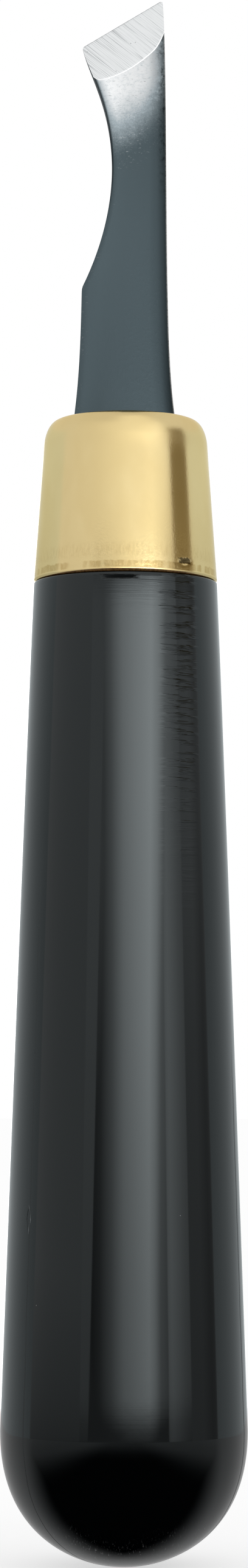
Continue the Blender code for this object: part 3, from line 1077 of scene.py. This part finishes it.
def drawn_brass():
    material, tree, shader = new_finish("drawn_brass")
    level = height_above(tree, MOUTH_HEIGHT)
    streaks = stretched_noise(tree, *STREAK_NOISE)
    dragged = drag_marks(tree, level, streaks)
    clouds = spread(tree, stretched_noise(tree, *CLOUD_NOISE), *CLOUD_CUT)
    colour = blend(tree, clouds, BRASS_COLOUR, BRASS_PALE)
    colour = blend(tree, product(tree, dragged, DRAG_SHARE), colour, PRESSED)
    colour = blend(tree, dull_patches(tree, level, streaks), colour, PRESSED)
    # Painted shade in the hollow over the fold.
    colour = blend(tree, fold_shade(tree), colour, FOLD_SHADE)
    # Glue and painted shade under the lip, where the surface is not metal.
    glue_and_shade = glue_and_shade_line(tree, level)
    glue_and_shade_colour = blend(tree, spread(tree, streaks, *MIDDLE_RUN), GLUE_AND_SHADE_DARK, GLUE_AND_SHADE_PALE)
    tree.links.new(blend(tree, glue_and_shade, colour, glue_and_shade_colour), shader.inputs["Base Color"])
    tree.links.new(calc(tree, "SUBTRACT", 1.0, glue_and_shade), shader.inputs["Metallic"])

    grain = stretched_noise(tree, *GRAIN_NOISE)
    relief = bump(tree, grain, GRAIN_DEPTH)
    relief = bump(tree, stretched_noise(tree, *DRAWN_NOISE), DRAWN_DEPTH, relief)
    relief = bump(tree, dragged, DRAG_DEPTH, relief)
    tree.links.new(relief, shader.inputs["Normal"])
    shoulder = spread(tree, level, *SHOULDER_FADE, 0.0, SHOULDER_DULL)
    rough = calc(tree, "ADD", spread(tree, grain, *WIDE_RUN, *BRASS_ROUGHNESS), shoulder)
    tree.links.new(rough, shader.inputs["Roughness"])
    shader.inputs["Specular Tint"].default_value = BRASS_TINT
    return material


add_piece("brass_ferrule", ferrule_mesh, drawn_brass(), "ferrule", FERRULE_SHARP)

# %% [markdown]
# ## The blade's outline
#
# The blade starts as a bar with a flat back and a crowned face. Its outline has a straight spine on the
# right and a hollow flank on the left, and ends in a skew cutting edge with both corners broken. Two
# chains of points hold it: one up the flank, one up the spine. Lines ruled from one to the other lie
# level at the foot and turn until the last one is the cutting edge.

# %% Sizes of the blade
SEAT_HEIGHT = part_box("ferrule")[1].z + FIT_GAP
SHANK_LENGTH = 11.73 * MM
LOWER_SWEEP = 10.64 * MM
UPPER_SWEEP = 11.36 * MM
SHANK_REACH = 3.93 * MM
WAIST_REACH = 1.27 * MM
HEEL_REACH = 3.95 * MM
SPINE_REACH = 3.69 * MM
TIP_REACH = 3.24 * MM
FOOT_FLARE = 0.68 * MM
EDGE_SKEW = math.radians(31.1)
FLANK_LEAN = math.radians(14.1)
SWEEP_LEAN = math.radians(26.3)
SHANK_LEAN = math.radians(1.2)
FOOT_LEAN = math.radians(7.6)
SPINE_LEAN = math.radians(3.1)
CORNER_ROUND = 0.25 * MM
TIP_ROUND = 0.38 * MM
FOOT_SINK = FIT_GAP

heel = Vector((-HEEL_REACH, SHANK_LENGTH + LOWER_SWEEP + UPPER_SWEEP, 0.0))
tip = heel + Vector((1.0, math.tan(EDGE_SKEW), 0.0)) * (HEEL_REACH + TIP_REACH)
edge_way = (tip - heel).normalized()
print("cutting edge in mm:", round((tip - heel).length / MM, 2))

# %% Flank and spine
ROUND_PULL = 0.55
SHANK_STEPS = 40
SWEEP_STEPS = 60
SPINE_STEPS = 80
ROUND_STEPS = 12


def leaning(angle, length):
    """A step of length that goes down and leans towards the spine by angle."""
    return Vector((math.sin(angle), -math.cos(angle), 0.0)) * length


def rounded(corner, before, after, reach=CORNER_ROUND):
    """Points that round a corner between two ways out of it."""
    start = corner + before.normalized() * reach
    end = corner + after.normalized() * reach
    return bezier(start, (corner - start) * ROUND_PULL, (corner - end) * ROUND_PULL, end, ROUND_STEPS)


def flank_chain():
    third = SHANK_LENGTH / 3
    foot = Vector((-SHANK_REACH - FOOT_FLARE, 0.0, 0.0))
    top = Vector((-SHANK_REACH, SHANK_LENGTH, 0.0))
    waist = Vector((-WAIST_REACH, SHANK_LENGTH + LOWER_SWEEP, 0.0))
    down_flank = leaning(-SHANK_LEAN, third)
    out_of_sweep = -leaning(-SWEEP_LEAN, LOWER_SWEEP / 3)
    along_flank = leaning(FLANK_LEAN, UPPER_SWEEP / 4)
    shank_round = rounded(top, down_flank, out_of_sweep)
    heel_round = rounded(heel, along_flank, edge_way)
    out_of_foot = (third * math.tan(FOOT_LEAN), third, 0.0)
    points = bezier(foot, out_of_foot, down_flank, shank_round[0], SHANK_STEPS)
    points += shank_round[1:]
    points += bezier(points[-1], out_of_sweep, (0.0, -LOWER_SWEEP / 3, 0.0), waist, SWEEP_STEPS)[1:]
    points += bezier(waist, (0.0, UPPER_SWEEP / 2, 0.0), along_flank, heel_round[0], SWEEP_STEPS)[1:]
    return points + heel_round[1:]


def spine_chain():
    third = SHANK_LENGTH / 3
    run = tip.y - SHANK_LENGTH
    foot = Vector((SPINE_REACH + FOOT_FLARE, 0.0, 0.0))
    top = Vector((SPINE_REACH, SHANK_LENGTH, 0.0))
    down_spine = leaning(SHANK_LEAN, 1.0)
    along_spine = leaning(SPINE_LEAN, run / 4)
    tip_round = rounded(tip, along_spine, -edge_way, TIP_ROUND)
    out_of_foot = (-third * math.tan(FOOT_LEAN), third, 0.0)
    points = bezier(foot, out_of_foot, down_spine * third, top, SHANK_STEPS)
    points += bezier(top, -down_spine * run / 3, along_spine, tip_round[0], SPINE_STEPS)[1:]
    return points + tip_round[1:]


print("flank and spine points:", len(flank_chain()), len(spine_chain()))

# %% Chains of points


class Chain:
    """A chain of points that gives the point at any share of its length."""

    def __init__(self, points):
        self.points = points
        self.reached = [0.0]
        for before, after in zip(points, points[1:]):
            self.reached.append(self.reached[-1] + (after - before).length)

    def at(self, share):
        way = share * self.reached[-1]
        low, high = 0, len(self.points) - 1
        while high - low > 1:
            middle = (low + high) // 2
            if self.reached[middle] <= way:
                low = middle
            else:
                high = middle
        step = self.reached[high] - self.reached[low]
        return self.points[low].lerp(self.points[high], (way - self.reached[low]) / step)


flank = Chain(flank_chain())
spine = Chain(spine_chain())
print("flank and spine in mm:", round(flank.reached[-1] / MM, 2), round(spine.reached[-1] / MM, 2))

# %% [markdown]
# ## The blade's faces
#
# Across the blade the face is an arc, rolled over along the spine and a little along the flank, as hand
# polishing leaves it. The bevel is a plane through the edge, and a narrow honed plane runs along it. The
# surface is whichever lies deepest, so the curved upper limit of the bevel follows by itself. A rounded
# maximum breaks the line where they meet.

# %% Depth of the face
THICKNESS = 1.6 * MM
CROWN_RADIUS = 18.0 * MM
CROWN_SHIFT = 0.3 * MM
BEVEL_ANGLE = math.radians(20.5)
HONE_ANGLE = math.radians(36.0)
HONE_WIDTH = 0.10 * MM
EDGE_LAND = 0.05 * MM
BREAK_DEPTH = 0.02 * MM
SPINE_ROLL = (1.2 * MM, math.radians(24))
FLANK_ROLL = (0.5 * MM, math.radians(30))

edge_across = Vector((edge_way.y, -edge_way.x, 0.0))


def rolled(gap, roll):
    """How far the face drops at a distance from the outline, for a roll of a width and an angle."""
    width, angle = roll
    if gap >= width:
        return 0.0
    radius = width / math.sin(angle)
    return radius - math.sqrt(radius * radius - (width - gap) ** 2)


def rounded_max(first, second, break_depth):
    """The larger of two depths, with a soft change from one to the other."""
    close = max(break_depth - abs(first - second), 0.0)
    return max(first, second) + close * close / (4 * break_depth)


def crown_depth(point, flank_gap, spine_gap):
    """Y of the crowned and rolled face."""
    offset = point.x - CROWN_SHIFT
    arc = CROWN_RADIUS - math.sqrt(CROWN_RADIUS ** 2 - offset ** 2)
    return -THICKNESS / 2 + arc + rolled(flank_gap, FLANK_ROLL) + rolled(spine_gap, SPINE_ROLL)


def bevel_depth(point):
    """Y of the ground bevel's plane."""
    below = (point - heel).dot(edge_across)
    return THICKNESS / 2 - EDGE_LAND - below * math.tan(BEVEL_ANGLE)


def hone_depth(point):
    """Y of the narrow honed plane along the edge."""
    below = (point - heel).dot(edge_across)
    lift = HONE_WIDTH * (math.tan(HONE_ANGLE) - math.tan(BEVEL_ANGLE))
    return THICKNESS / 2 - EDGE_LAND + lift - below * math.tan(HONE_ANGLE)


print("bevel about", round(THICKNESS / math.tan(BEVEL_ANGLE) / MM, 2), "mm wide at the crown")

# %% [markdown]
# ## The blade's mesh
#
# Each ruled line becomes a closed ring: across the face, over the spine, back along the flat and up the
# flank. The rings up to the bevel all end on its upper limit, so that line is a clean row of edges. It
# takes a search on each column to find where face and bevel meet.

# %% Lines across the blade
FACE_SPANS = 34
FLANK_GAPS = [0.0, 0.05 * MM, 0.12 * MM, 0.22 * MM, 0.35 * MM, 0.5 * MM]
SPINE_GAPS = [1.2 * MM, 1.0 * MM, 0.8 * MM, 0.62 * MM, 0.45 * MM, 0.3 * MM, 0.17 * MM, 0.07 * MM, 0.0]
SEARCH_RUN = (0.6, 1.0)
SEARCH_STEPS = 30


def across_line(share):
    """The points of one ruled line, each with its distance from the flank and from the spine."""
    start, end = flank.at(share), spine.at(share)
    length = (end - start).length
    middle_start, middle_end = FLANK_GAPS[-1], length - SPINE_GAPS[0]
    steps = FLANK_GAPS[:-1]
    steps = steps + [middle_start + (middle_end - middle_start) * i / FACE_SPANS for i in range(FACE_SPANS)]
    steps = steps + [length - gap for gap in SPINE_GAPS]
    return [(start.lerp(end, step / length), step, length - step) for step in steps]


def bevel_start(column):
    """Share of the length at which the bevel begins on a column."""
    low, high = SEARCH_RUN
    for _ in range(SEARCH_STEPS):
        middle = (low + high) / 2
        point, flank_gap, spine_gap = across_line(middle)[column]
        if bevel_depth(point) < crown_depth(point, flank_gap, spine_gap):
            low = middle
        else:
            high = middle
    return (low + high) / 2


starts = [bevel_start(column) for column in range(len(across_line(0.5)))]
print("bevel begins at shares", round(min(starts), 3), "to", round(max(starts), 3), "of the length")

# %% Rows of the face
CHEEK_ROWS = 120
BEVEL_ROWS = 26
LIMIT_RUN = 30 * MM
LIMIT_GAPS = [0.45 * MM, 0.30 * MM, 0.20 * MM, 0.14 * MM, 0.09 * MM, 0.05 * MM, 0.02 * MM]
BEVEL_SHARES = [0.0, 0.008, 0.02, 0.04]
EDGE_SHARES = [0.93, 0.95, 0.965, 0.978, 0.989, 1.0]


def row_shares():
    """Each row as its share of the cheek and its share of the bevel."""
    near = [1.0 - gap / LIMIT_RUN for gap in LIMIT_GAPS]
    rows = [(near[0] * step / CHEEK_ROWS, 0.0) for step in range(CHEEK_ROWS)]
    rows += [(share, 0.0) for share in near]
    rows += [(1.0, share) for share in BEVEL_SHARES]
    low, high = BEVEL_SHARES[-1], EDGE_SHARES[0]
    rows += [(1.0, low + (high - low) * step / BEVEL_ROWS) for step in range(1, BEVEL_ROWS)]
    return rows + [(1.0, share) for share in EDGE_SHARES]


def face_row(cheek, bevel):
    """The points of the face along one row, as (point, y, distance from flank, distance from spine)."""
    row = []
    for column, start in enumerate(starts):
        share = start * cheek + (1.0 - start) * bevel
        point, flank_gap, spine_gap = across_line(share)[column]
        depth = crown_depth(point, flank_gap, spine_gap)
        depth = rounded_max(depth, bevel_depth(point), BREAK_DEPTH)
        depth = max(depth, hone_depth(point))
        row.append((point, depth, flank_gap, spine_gap))
    return row


rows = [face_row(cheek, bevel) for cheek, bevel in row_shares()]
print("rows up the face:", len(rows))

# %% Rings of the rows
WALL_SHARES = (0.06, 0.35, 0.65, 0.94)


def place(point, depth):
    """A point of the outline at a depth, in the model's frame."""
    return Vector((point.x, depth, SEAT_HEIGHT + point.y))


def ring_of(row):
    """The closed ring of a row: face, spine, back and flank. Each place comes with its column of the row."""
    back = THICKNESS / 2
    last = len(row) - 1
    ring = [(place(point, depth), column) for column, (point, depth, _, _) in enumerate(row)]
    point, depth = row[last][:2]
    ring += [(place(point, depth + (back - depth) * share), last) for share in WALL_SHARES]
    ring += [(place(row[column][0], back), column) for column in reversed(range(last + 1))]
    point, depth = row[0][:2]
    ring += [(place(point, back + (depth - back) * share), 0) for share in WALL_SHARES]
    return ring


rings = [ring_of(row) for row in rows]
for spot, _ in rings[0]:
    spot.z -= FOOT_SINK
print("blade rings:", len(rings), "of", len(rings[0]), "points")

# %% Blade mesh
CARRIED = {"flank_gap": 2, "spine_gap": 3}


def end_cap(base, columns):
    """Faces that close a ring, strip by strip from the face to the back."""
    walls = len(WALL_SHARES)
    back_of = [base + 2 * columns + walls - 1 - column for column in range(columns)]
    cap = [(base + i, base + i + 1, back_of[i + 1], back_of[i]) for i in range(columns - 1)]
    spine_side = [base + columns - 1 + i for i in range(walls + 2)]
    flank_side = [base + 2 * columns + walls - 1 + i for i in range(walls + 1)] + [base]
    return cap + [tuple(spine_side), tuple(flank_side)]


def blade_mesh():
    around = len(rings[0])
    faces = []
    for low in range(0, around * (len(rings) - 1), around):
        for step in range(around):
            after = (step + 1) % around
            faces.append((low + step, low + after, low + around + after, low + around + step))
    faces += [face[::-1] for face in end_cap(0, len(starts))]
    faces += end_cap(around * (len(rings) - 1), len(starts))
    mesh = bpy.data.meshes.new("ground_blade")
    mesh.from_pydata([tuple(spot) for ring in rings for spot, _ in ring], [], faces)
    for name, item in CARRIED.items():
        gaps = [row[column][item] / MM for row, ring in zip(rows, rings) for _, column in ring]
        mesh.attributes.new(name, "FLOAT", "POINT").data.foreach_set("value", gaps)
    return mesh


ground_mesh = blade_mesh()
print("blade has", len(ground_mesh.polygons), "faces")

# %% [markdown]
# ## Blued and polished steel
#
# The shank keeps the slate blue of tempering. Towards the bevel the blade was polished, and the blue
# fades into bright steel, lower on the flank side than along the spine. The polishing wheel missed a
# narrow strip along the flank and left the spine side pitted. Painted shade darkens the steel along the
# rolled spine, along the flank's edge and towards the foot. The mesh carries each point's distance from
# flank and spine, so the nodes can place these strips. Lengths in these cells are in millimetres on the
# blade.

# %% Where the polish reaches
STEEL_NOISE = ((7000.0, 7000.0, 7000.0), 4.0, 0.7)
FADE_NOISE = ((800.0, 800.0, 650.0), 4.0)
FADE_FOOT = 23.5
FADE_SLOPE = 0.55
FADE_RUN = 6.4
GRAIN_UNEVEN = 0.34
PATCH_UNEVEN = 0.16
POLISH_ACROSS = (4.2, 0.6)
POLISH_WIDENS = 0.75
BEVEL_NEARS = (26.0, 31.5)
FLANK_REACH = 1.0
FLANK_POLISH = [(0.0, 0.14), (0.1, 0.2), (0.3, 0.66), (1.0, 1.0)]


def blade_place(tree):
    """Place on the blade: across, and up from the seat."""
    sides = own_sides(tree)
    across = calc(tree, "DIVIDE", sides["X"], MM)
    upward = calc(tree, "DIVIDE", calc(tree, "SUBTRACT", sides["Z"], SEAT_HEIGHT), MM)
    return across, upward


def carried(tree, name):
    """A distance that the mesh carries."""
    return add_node(tree, "ShaderNodeAttribute", attribute_name=name).outputs["Fac"]


def fade_rise(tree):
    """How far up the fade a point lies: 0 at its foot, 1 at its top."""
    across, upward = blade_place(tree)
    foot = calc(tree, "ADD", product(tree, across, FADE_SLOPE), FADE_FOOT)
    return calc(tree, "DIVIDE", calc(tree, "SUBTRACT", upward, foot), FADE_RUN)


def polish_share(tree, rise, grain):
    """0 on blued steel, 1 on polished steel."""
    across, upward = blade_place(tree)
    patches = stretched_noise(tree, *FADE_NOISE)
    uneven = calc(tree, "ADD", wander(tree, grain, GRAIN_UNEVEN), wander(tree, patches, PATCH_UNEVEN))
    polish = spread(tree, calc(tree, "ADD", rise, uneven), 0.0, 1.0)
    widening = product(tree, spread(tree, upward, *BEVEL_NEARS), POLISH_WIDENS)
    short_of_spine = spread(tree, calc(tree, "SUBTRACT", across, widening), *POLISH_ACROSS)
    off_flank = calc(tree, "DIVIDE", carried(tree, "flank_gap"), FLANK_REACH)
    return product(tree, polish, short_of_spine, shades(tree, off_flank, FLANK_POLISH))


print("polish fades in from", FADE_FOOT, "mm up, over", FADE_RUN, "mm")

# %% Painted shade on the blade's sides
# A near-black steel, used for the blotches and for painted shade.
BLOTCH_AND_SHADE_DARK = (0.004, 0.006, 0.007, 1.0)
# How far and how dark the painted shade along the rolled spine reaches.
SPINE_SHADE_REACH = 8.0
SPINE_SHADE_ACROSS = [(0.0, 0.66), (0.07, 0.60), (0.125, 0.47), (0.21, 0.30), (0.5, 0.17), (0.75, 0.0)]
# Painted shade towards the foot.
FOOT_SHADE = 0.25
FOOT_SHADE_FADE = (18.0, 0.0)
FOOT_SHADE_OFF_FLANK = (0.3, 2.5)


def with_painted_shade(tree, colour):
    """A colour with painted shade along the rolled spine and towards the foot."""
    # Painted shade along the rolled spine.
    spine_side = calc(tree, "DIVIDE", carried(tree, "spine_gap"), SPINE_SHADE_REACH)
    colour = blend(tree, shades(tree, spine_side, SPINE_SHADE_ACROSS), colour, BLOTCH_AND_SHADE_DARK)
    # Painted shade towards the foot, weaker near the flank.
    near_foot = spread(tree, blade_place(tree)[1], *FOOT_SHADE_FADE, 0.0, FOOT_SHADE)
    off_flank = spread(tree, carried(tree, "flank_gap"), *FOOT_SHADE_OFF_FLANK)
    return blend(tree, product(tree, near_foot, off_flank), colour, BLOTCH_AND_SHADE_DARK)


print("dark side reaches", SPINE_SHADE_REACH * SPINE_SHADE_ACROSS[-1][0], "mm from the spine")

# %% [markdown]
# Under the polish, older marks are left: dark blotches beside the spine, grey clouds, pits and short
# dashes across. Where the blue fades it is scuffed through to bright steel. A thin line of painted shade
# follows the flank's edge, and the edge of the spine is worn bright, with a painted highlight along it.

# %% Marks under the polish
SLATE = (0.066, 0.089, 0.099, 1.0)
HALF_BRIGHT = (0.30, 0.35, 0.375, 1.0)
PIT = (0.030, 0.036, 0.040, 1.0)
BLOTCH_NOISE = ((2600.0, 2600.0, 2200.0), 4.0, 0.7)
BLOTCH_CUT = (0.46, 0.66)
BLOTCH_BESIDE = (1.1, 0.1)
BLOTCH_RISE = (16.0, 27.0)
BLOTCH_SHARE = 0.85
GREY_NOISE = ((2400.0, 2400.0, 3200.0), 6.0, 0.75)
GREY_CUT = (0.46, 0.66)
GREY_POLISH = (0.05, 0.45, 0.0, 0.34)
PITS_PER_METRE = 3600.0
PIT_SIZE = 0.10
PIT_POLISH = (0.1, 0.5, 0.0, 0.55)
DASH_NOISE = ((2200.0, 2200.0, 8000.0), 4.0, 0.75)
DASH_CUT = (0.56, 0.74)
DASH_POLISH = (0.0, 0.4, 0.0, 0.6)


def marked(tree, colour, polish, blotches):
    """A colour with the marks that polishing left."""
    beside = spread(tree, carried(tree, "spine_gap"), *BLOTCH_BESIDE)
    beside = product(tree, beside, spread(tree, blade_place(tree)[1], *BLOTCH_RISE))
    colour = blend(tree, product(tree, blotches, beside, BLOTCH_SHARE), colour, BLOTCH_AND_SHADE_DARK)
    clouds = spread(tree, stretched_noise(tree, *GREY_NOISE), *GREY_CUT)
    clouds = product(tree, clouds, spread(tree, polish, *GREY_POLISH))
    colour = blend(tree, clouds, colour, HALF_BRIGHT)
    pits = product(tree, specks(tree, PITS_PER_METRE, PIT_SIZE), spread(tree, polish, *PIT_POLISH))
    colour = blend(tree, pits, colour, PIT)
    dashes = spread(tree, stretched_noise(tree, *DASH_NOISE), *DASH_CUT)
    return blend(tree, product(tree, dashes, spread(tree, polish, *DASH_POLISH)), colour, SLATE)


print("pits in cells of", round(1 / PITS_PER_METRE / MM, 2), "mm")

# %% Scuffs, painted edge shade, and worn edges with painted highlight
BRIGHT = (0.72, 0.73, 0.735, 1.0)
SCUFF_NOISE = ((3000.0, 3000.0, 7000.0), 4.0, 0.75)
SCUFF_CUT = (0.58, 0.74)
SCUFF_FOOT = (-0.35, 0.1)
SCUFF_TOP = (0.9, 0.4)
SCUFF_OFF_SPINE = (0.8, 2.5, 0.3, 1.0)
SCUFF_AT_FLANK = (0.9, 0.1, 0.0, 0.6)
SCUFF_SHARE = 0.3
# Painted shade along the flank's rounded edge: its width and where it rises.
FLANK_SHADE_WIDTH = (0.24, 0.09)
FLANK_SHADE_RISE = (17.0, 23.0, 0.0, 0.75)
# Wear and a painted highlight along the spine's edge.
SHEEN_AND_WEAR_WIDTH = (0.12, 0.04)
SHEEN_AND_WEAR_GRAIN = (0.3, 0.6, 0.3, 1.0)
SHEEN_AND_WEAR_WALL = 0.004
SHEEN_AND_WEAR_SHARE = 0.36


def scuffed(tree, colour, rise):
    """A colour rubbed bright in dashes, in the fade and along the flank."""
    scuffs = spread(tree, stretched_noise(tree, *SCUFF_NOISE), *SCUFF_CUT)
    fading = product(tree, spread(tree, rise, *SCUFF_FOOT), spread(tree, rise, *SCUFF_TOP))
    fading = product(tree, fading, spread(tree, carried(tree, "spine_gap"), *SCUFF_OFF_SPINE))
    at_flank = spread(tree, carried(tree, "flank_gap"), *SCUFF_AT_FLANK)
    rubbed = product(tree, scuffs, calc(tree, "MAXIMUM", fading, at_flank), SCUFF_SHARE)
    return blend(tree, rubbed, colour, BRIGHT)


def edge_shade_and_sheen(tree, colour, grain):
    """A colour with painted shade along the flank's edge, and wear with a painted highlight along the
    spine's edge. The wall stays as it is.
    """
    # Painted shade along the flank's rounded edge.
    flank_shade = spread(tree, carried(tree, "flank_gap"), *FLANK_SHADE_WIDTH)
    flank_shade = product(tree, flank_shade, spread(tree, blade_place(tree)[1], *FLANK_SHADE_RISE))
    colour = blend(tree, flank_shade, colour, BLOTCH_AND_SHADE_DARK)
    # Wear and a painted highlight along the spine's edge, kept off the wall.
    spine_gap = carried(tree, "spine_gap")
    sheen_and_wear = product(tree, spread(tree, spine_gap, *SHEEN_AND_WEAR_WIDTH), spread(tree, grain, *SHEEN_AND_WEAR_GRAIN))
    sheen_and_wear = product(tree, sheen_and_wear, calc(tree, "GREATER_THAN", spine_gap, SHEEN_AND_WEAR_WALL), SHEEN_AND_WEAR_SHARE)
    return blend(tree, sheen_and_wear, colour, BRIGHT)


# The burr printed here is painted shade along the flank's edge.
print("flank_shade", FLANK_SHADE_WIDTH[0], "mm wide, worn spine", SHEEN_AND_WEAR_WIDTH[0], "mm")

# %% Blued steel
STEEL_TINT = (0.3, 0.32, 0.33, 1.0)
STEEL_DEPTH = 0.9 * UM
BLOTCH_DEPTH = 2.0 * UM
BLUED_ROUGHNESS = 0.34
POLISHED_ROUGHNESS = 0.285
BLADE_SHARP = math.radians(30)


def blued_steel():
    material, tree, shader = new_finish("blued_steel")
    grain = stretched_noise(tree, *STEEL_NOISE)
    blotches = spread(tree, stretched_noise(tree, *BLOTCH_NOISE), *BLOTCH_CUT)
    rise = fade_rise(tree)
    polish = polish_share(tree, rise, grain)
    colour = shades(tree, polish, [(0.0, SLATE), (0.5, HALF_BRIGHT), (1.0, BRIGHT)])
    # Painted shade along the spine and towards the foot, then the marks of polishing.
    colour = marked(tree, with_painted_shade(tree, colour), polish, blotches)
    # Scuffs, then painted shade at the flank's edge and wear with a painted highlight at the spine's edge.
    colour = edge_shade_and_sheen(tree, scuffed(tree, colour, rise), grain)
    tree.links.new(colour, shader.inputs["Base Color"])
    relief = bump(tree, blotches, BLOTCH_DEPTH, bump(tree, grain, STEEL_DEPTH))
    tree.links.new(relief, shader.inputs["Normal"])
    roughness = spread(tree, polish, 0.0, 1.0, BLUED_ROUGHNESS, POLISHED_ROUGHNESS)
    tree.links.new(roughness, shader.inputs["Roughness"])
    shader.inputs["Metallic"].default_value = 1.0
    shader.inputs["Specular Tint"].default_value = STEEL_TINT
    return material


add_piece("ground_blade", ground_mesh, blued_steel(), "blade", BLADE_SHARP)

# %% [markdown]
# ## The bevel's steel
#
# The bevel is fresh from the grinding wheel: straight lines cross it, in groups, and a few pits are left.
# Along the edge itself the stone left a fine darker line. Where the bevel meets the face, a thin bright
# line is a painted highlight of the rounded crease.

# %% Ground steel
GROUND = (0.735, 0.75, 0.755, 1.0)
GRIND_DARK = (0.23, 0.245, 0.255, 1.0)
GRIND_LEAN = math.radians(43.0)
GRIND_ROUGH = 0.65
FINE_LINES = (110.0, 12500.0, 4.0)
FINE_CUT = (0.47, 0.71)
FINE_DEPTH = 0.7 * UM
LINE_GROUPS = (160.0, 2600.0, 2.0)
GROUP_CUT = (0.33, 0.58, 0.25, 1.0)
GROUND_PITS_PER_METRE = 2300.0
GROUND_PIT_SHARE = 0.6
GROUND_ROUGHNESS = (0.285, 0.33)
EDGE_GREY = (0.33, 0.345, 0.355, 1.0)
EDGE_LINE = (0.09, 0.03)
EDGE_NOISE = ((3000.0, 3000.0, 3000.0), 3.0)
EDGE_CUT = (0.35, 0.6, 0.4, 0.9)


def grinding_lines(tree, along, across, detail):
    """Noise in straight lines that cross the bevel, with its cells per metre along and across them."""
    lean = {"Vector": own_place(tree), "Rotation": (0.0, GRIND_LEAN, 0.0)}
    turned = add_node(tree, "ShaderNodeMapping", lean, vector_type="TEXTURE").outputs[0]
    scaling = {"Vector": turned, "Scale": (along, 1.0, across)}
    scaled = add_node(tree, "ShaderNodeMapping", scaling).outputs[0]
    inputs = {"Vector": scaled, "Scale": 1.0, "Detail": detail, "Roughness": GRIND_ROUGH}
    return add_node(tree, "ShaderNodeTexNoise", inputs).outputs["Fac"]


def edge_line(tree):
    """Share of the fine dark line along the cutting edge."""
    across, upward = blade_place(tree)
    sideways = product(tree, calc(tree, "SUBTRACT", across, heel.x / MM), edge_across.x)
    lengthways = product(tree, calc(tree, "SUBTRACT", upward, heel.y / MM), edge_across.y)
    line = spread(tree, calc(tree, "ADD", sideways, lengthways), *EDGE_LINE)
    return product(tree, line, spread(tree, stretched_noise(tree, *EDGE_NOISE), *EDGE_CUT))


def ground_steel():
    material, tree, shader = new_finish("ground_steel")
    fine = grinding_lines(tree, *FINE_LINES)
    groups = grinding_lines(tree, *LINE_GROUPS)
    marks = product(tree, spread(tree, fine, *FINE_CUT), spread(tree, groups, *GROUP_CUT))
    colour = blend(tree, marks, GROUND, GRIND_DARK)
    pits = product(tree, specks(tree, GROUND_PITS_PER_METRE, PIT_SIZE), GROUND_PIT_SHARE)
    colour = blend(tree, pits, colour, PIT)
    colour = blend(tree, edge_line(tree), colour, EDGE_GREY)
    tree.links.new(colour, shader.inputs["Base Color"])
    tree.links.new(bump(tree, fine, FINE_DEPTH), shader.inputs["Normal"])
    tree.links.new(spread(tree, groups, *MIDDLE_RUN, *GROUND_ROUGHNESS), shader.inputs["Roughness"])
    shader.inputs["Metallic"].default_value = 1.0
    return material


print("grinding lines lean", round(math.degrees(GRIND_LEAN)), "degrees")

# %% Painted highlight on the crease
# The bright line along the crease is a painted highlight.
CREASE_HIGHLIGHT = (0.82, 0.825, 0.83, 1.0)
CREASE_NOISE = ((4000.0, 4000.0, 4000.0), 2.0)
CREASE_HIGHLIGHT_ROUGHNESS = (0.285, 0.32)


def crease_highlight_steel():
    material, tree, shader = new_finish("crease_highlight_steel")
    crease_noise = stretched_noise(tree, *CREASE_NOISE)
    colour = blend(tree, spread(tree, crease_noise, *MIDDLE_RUN), BRIGHT, CREASE_HIGHLIGHT)
    tree.links.new(colour, shader.inputs["Base Color"])
    tree.links.new(spread(tree, crease_noise, *WIDE_RUN, *CREASE_HIGHLIGHT_ROUGHNESS), shader.inputs["Roughness"])
    shader.inputs["Metallic"].default_value = 1.0
    return material


# The line is a painted highlight along the crease.
print("burnished line takes roughness", CREASE_HIGHLIGHT_ROUGHNESS)

# %% Share out the steel finishes
GROUND_SLOT = 1
CREASE_HIGHLIGHT_SLOT = 2
CREASE_HIGHLIGHT_ROWS = 3

ground_mesh.materials.append(ground_steel())
ground_mesh.materials.append(crease_highlight_steel())
limit_row = CHEEK_ROWS + len(LIMIT_GAPS)
for face in ground_mesh.polygons:
    row, step = divmod(face.index, len(rings[0]))
    on_face = step < len(starts) - 1 and row < len(rings) - 1
    # Rows along the crease take the painted highlight.
    if on_face and limit_row - CREASE_HIGHLIGHT_ROWS <= row <= limit_row:
        face.material_index = CREASE_HIGHLIGHT_SLOT
    elif on_face and row > limit_row:
        face.material_index = GROUND_SLOT
print("bevel faces:", sum(face.material_index == GROUND_SLOT for face in ground_mesh.polygons))
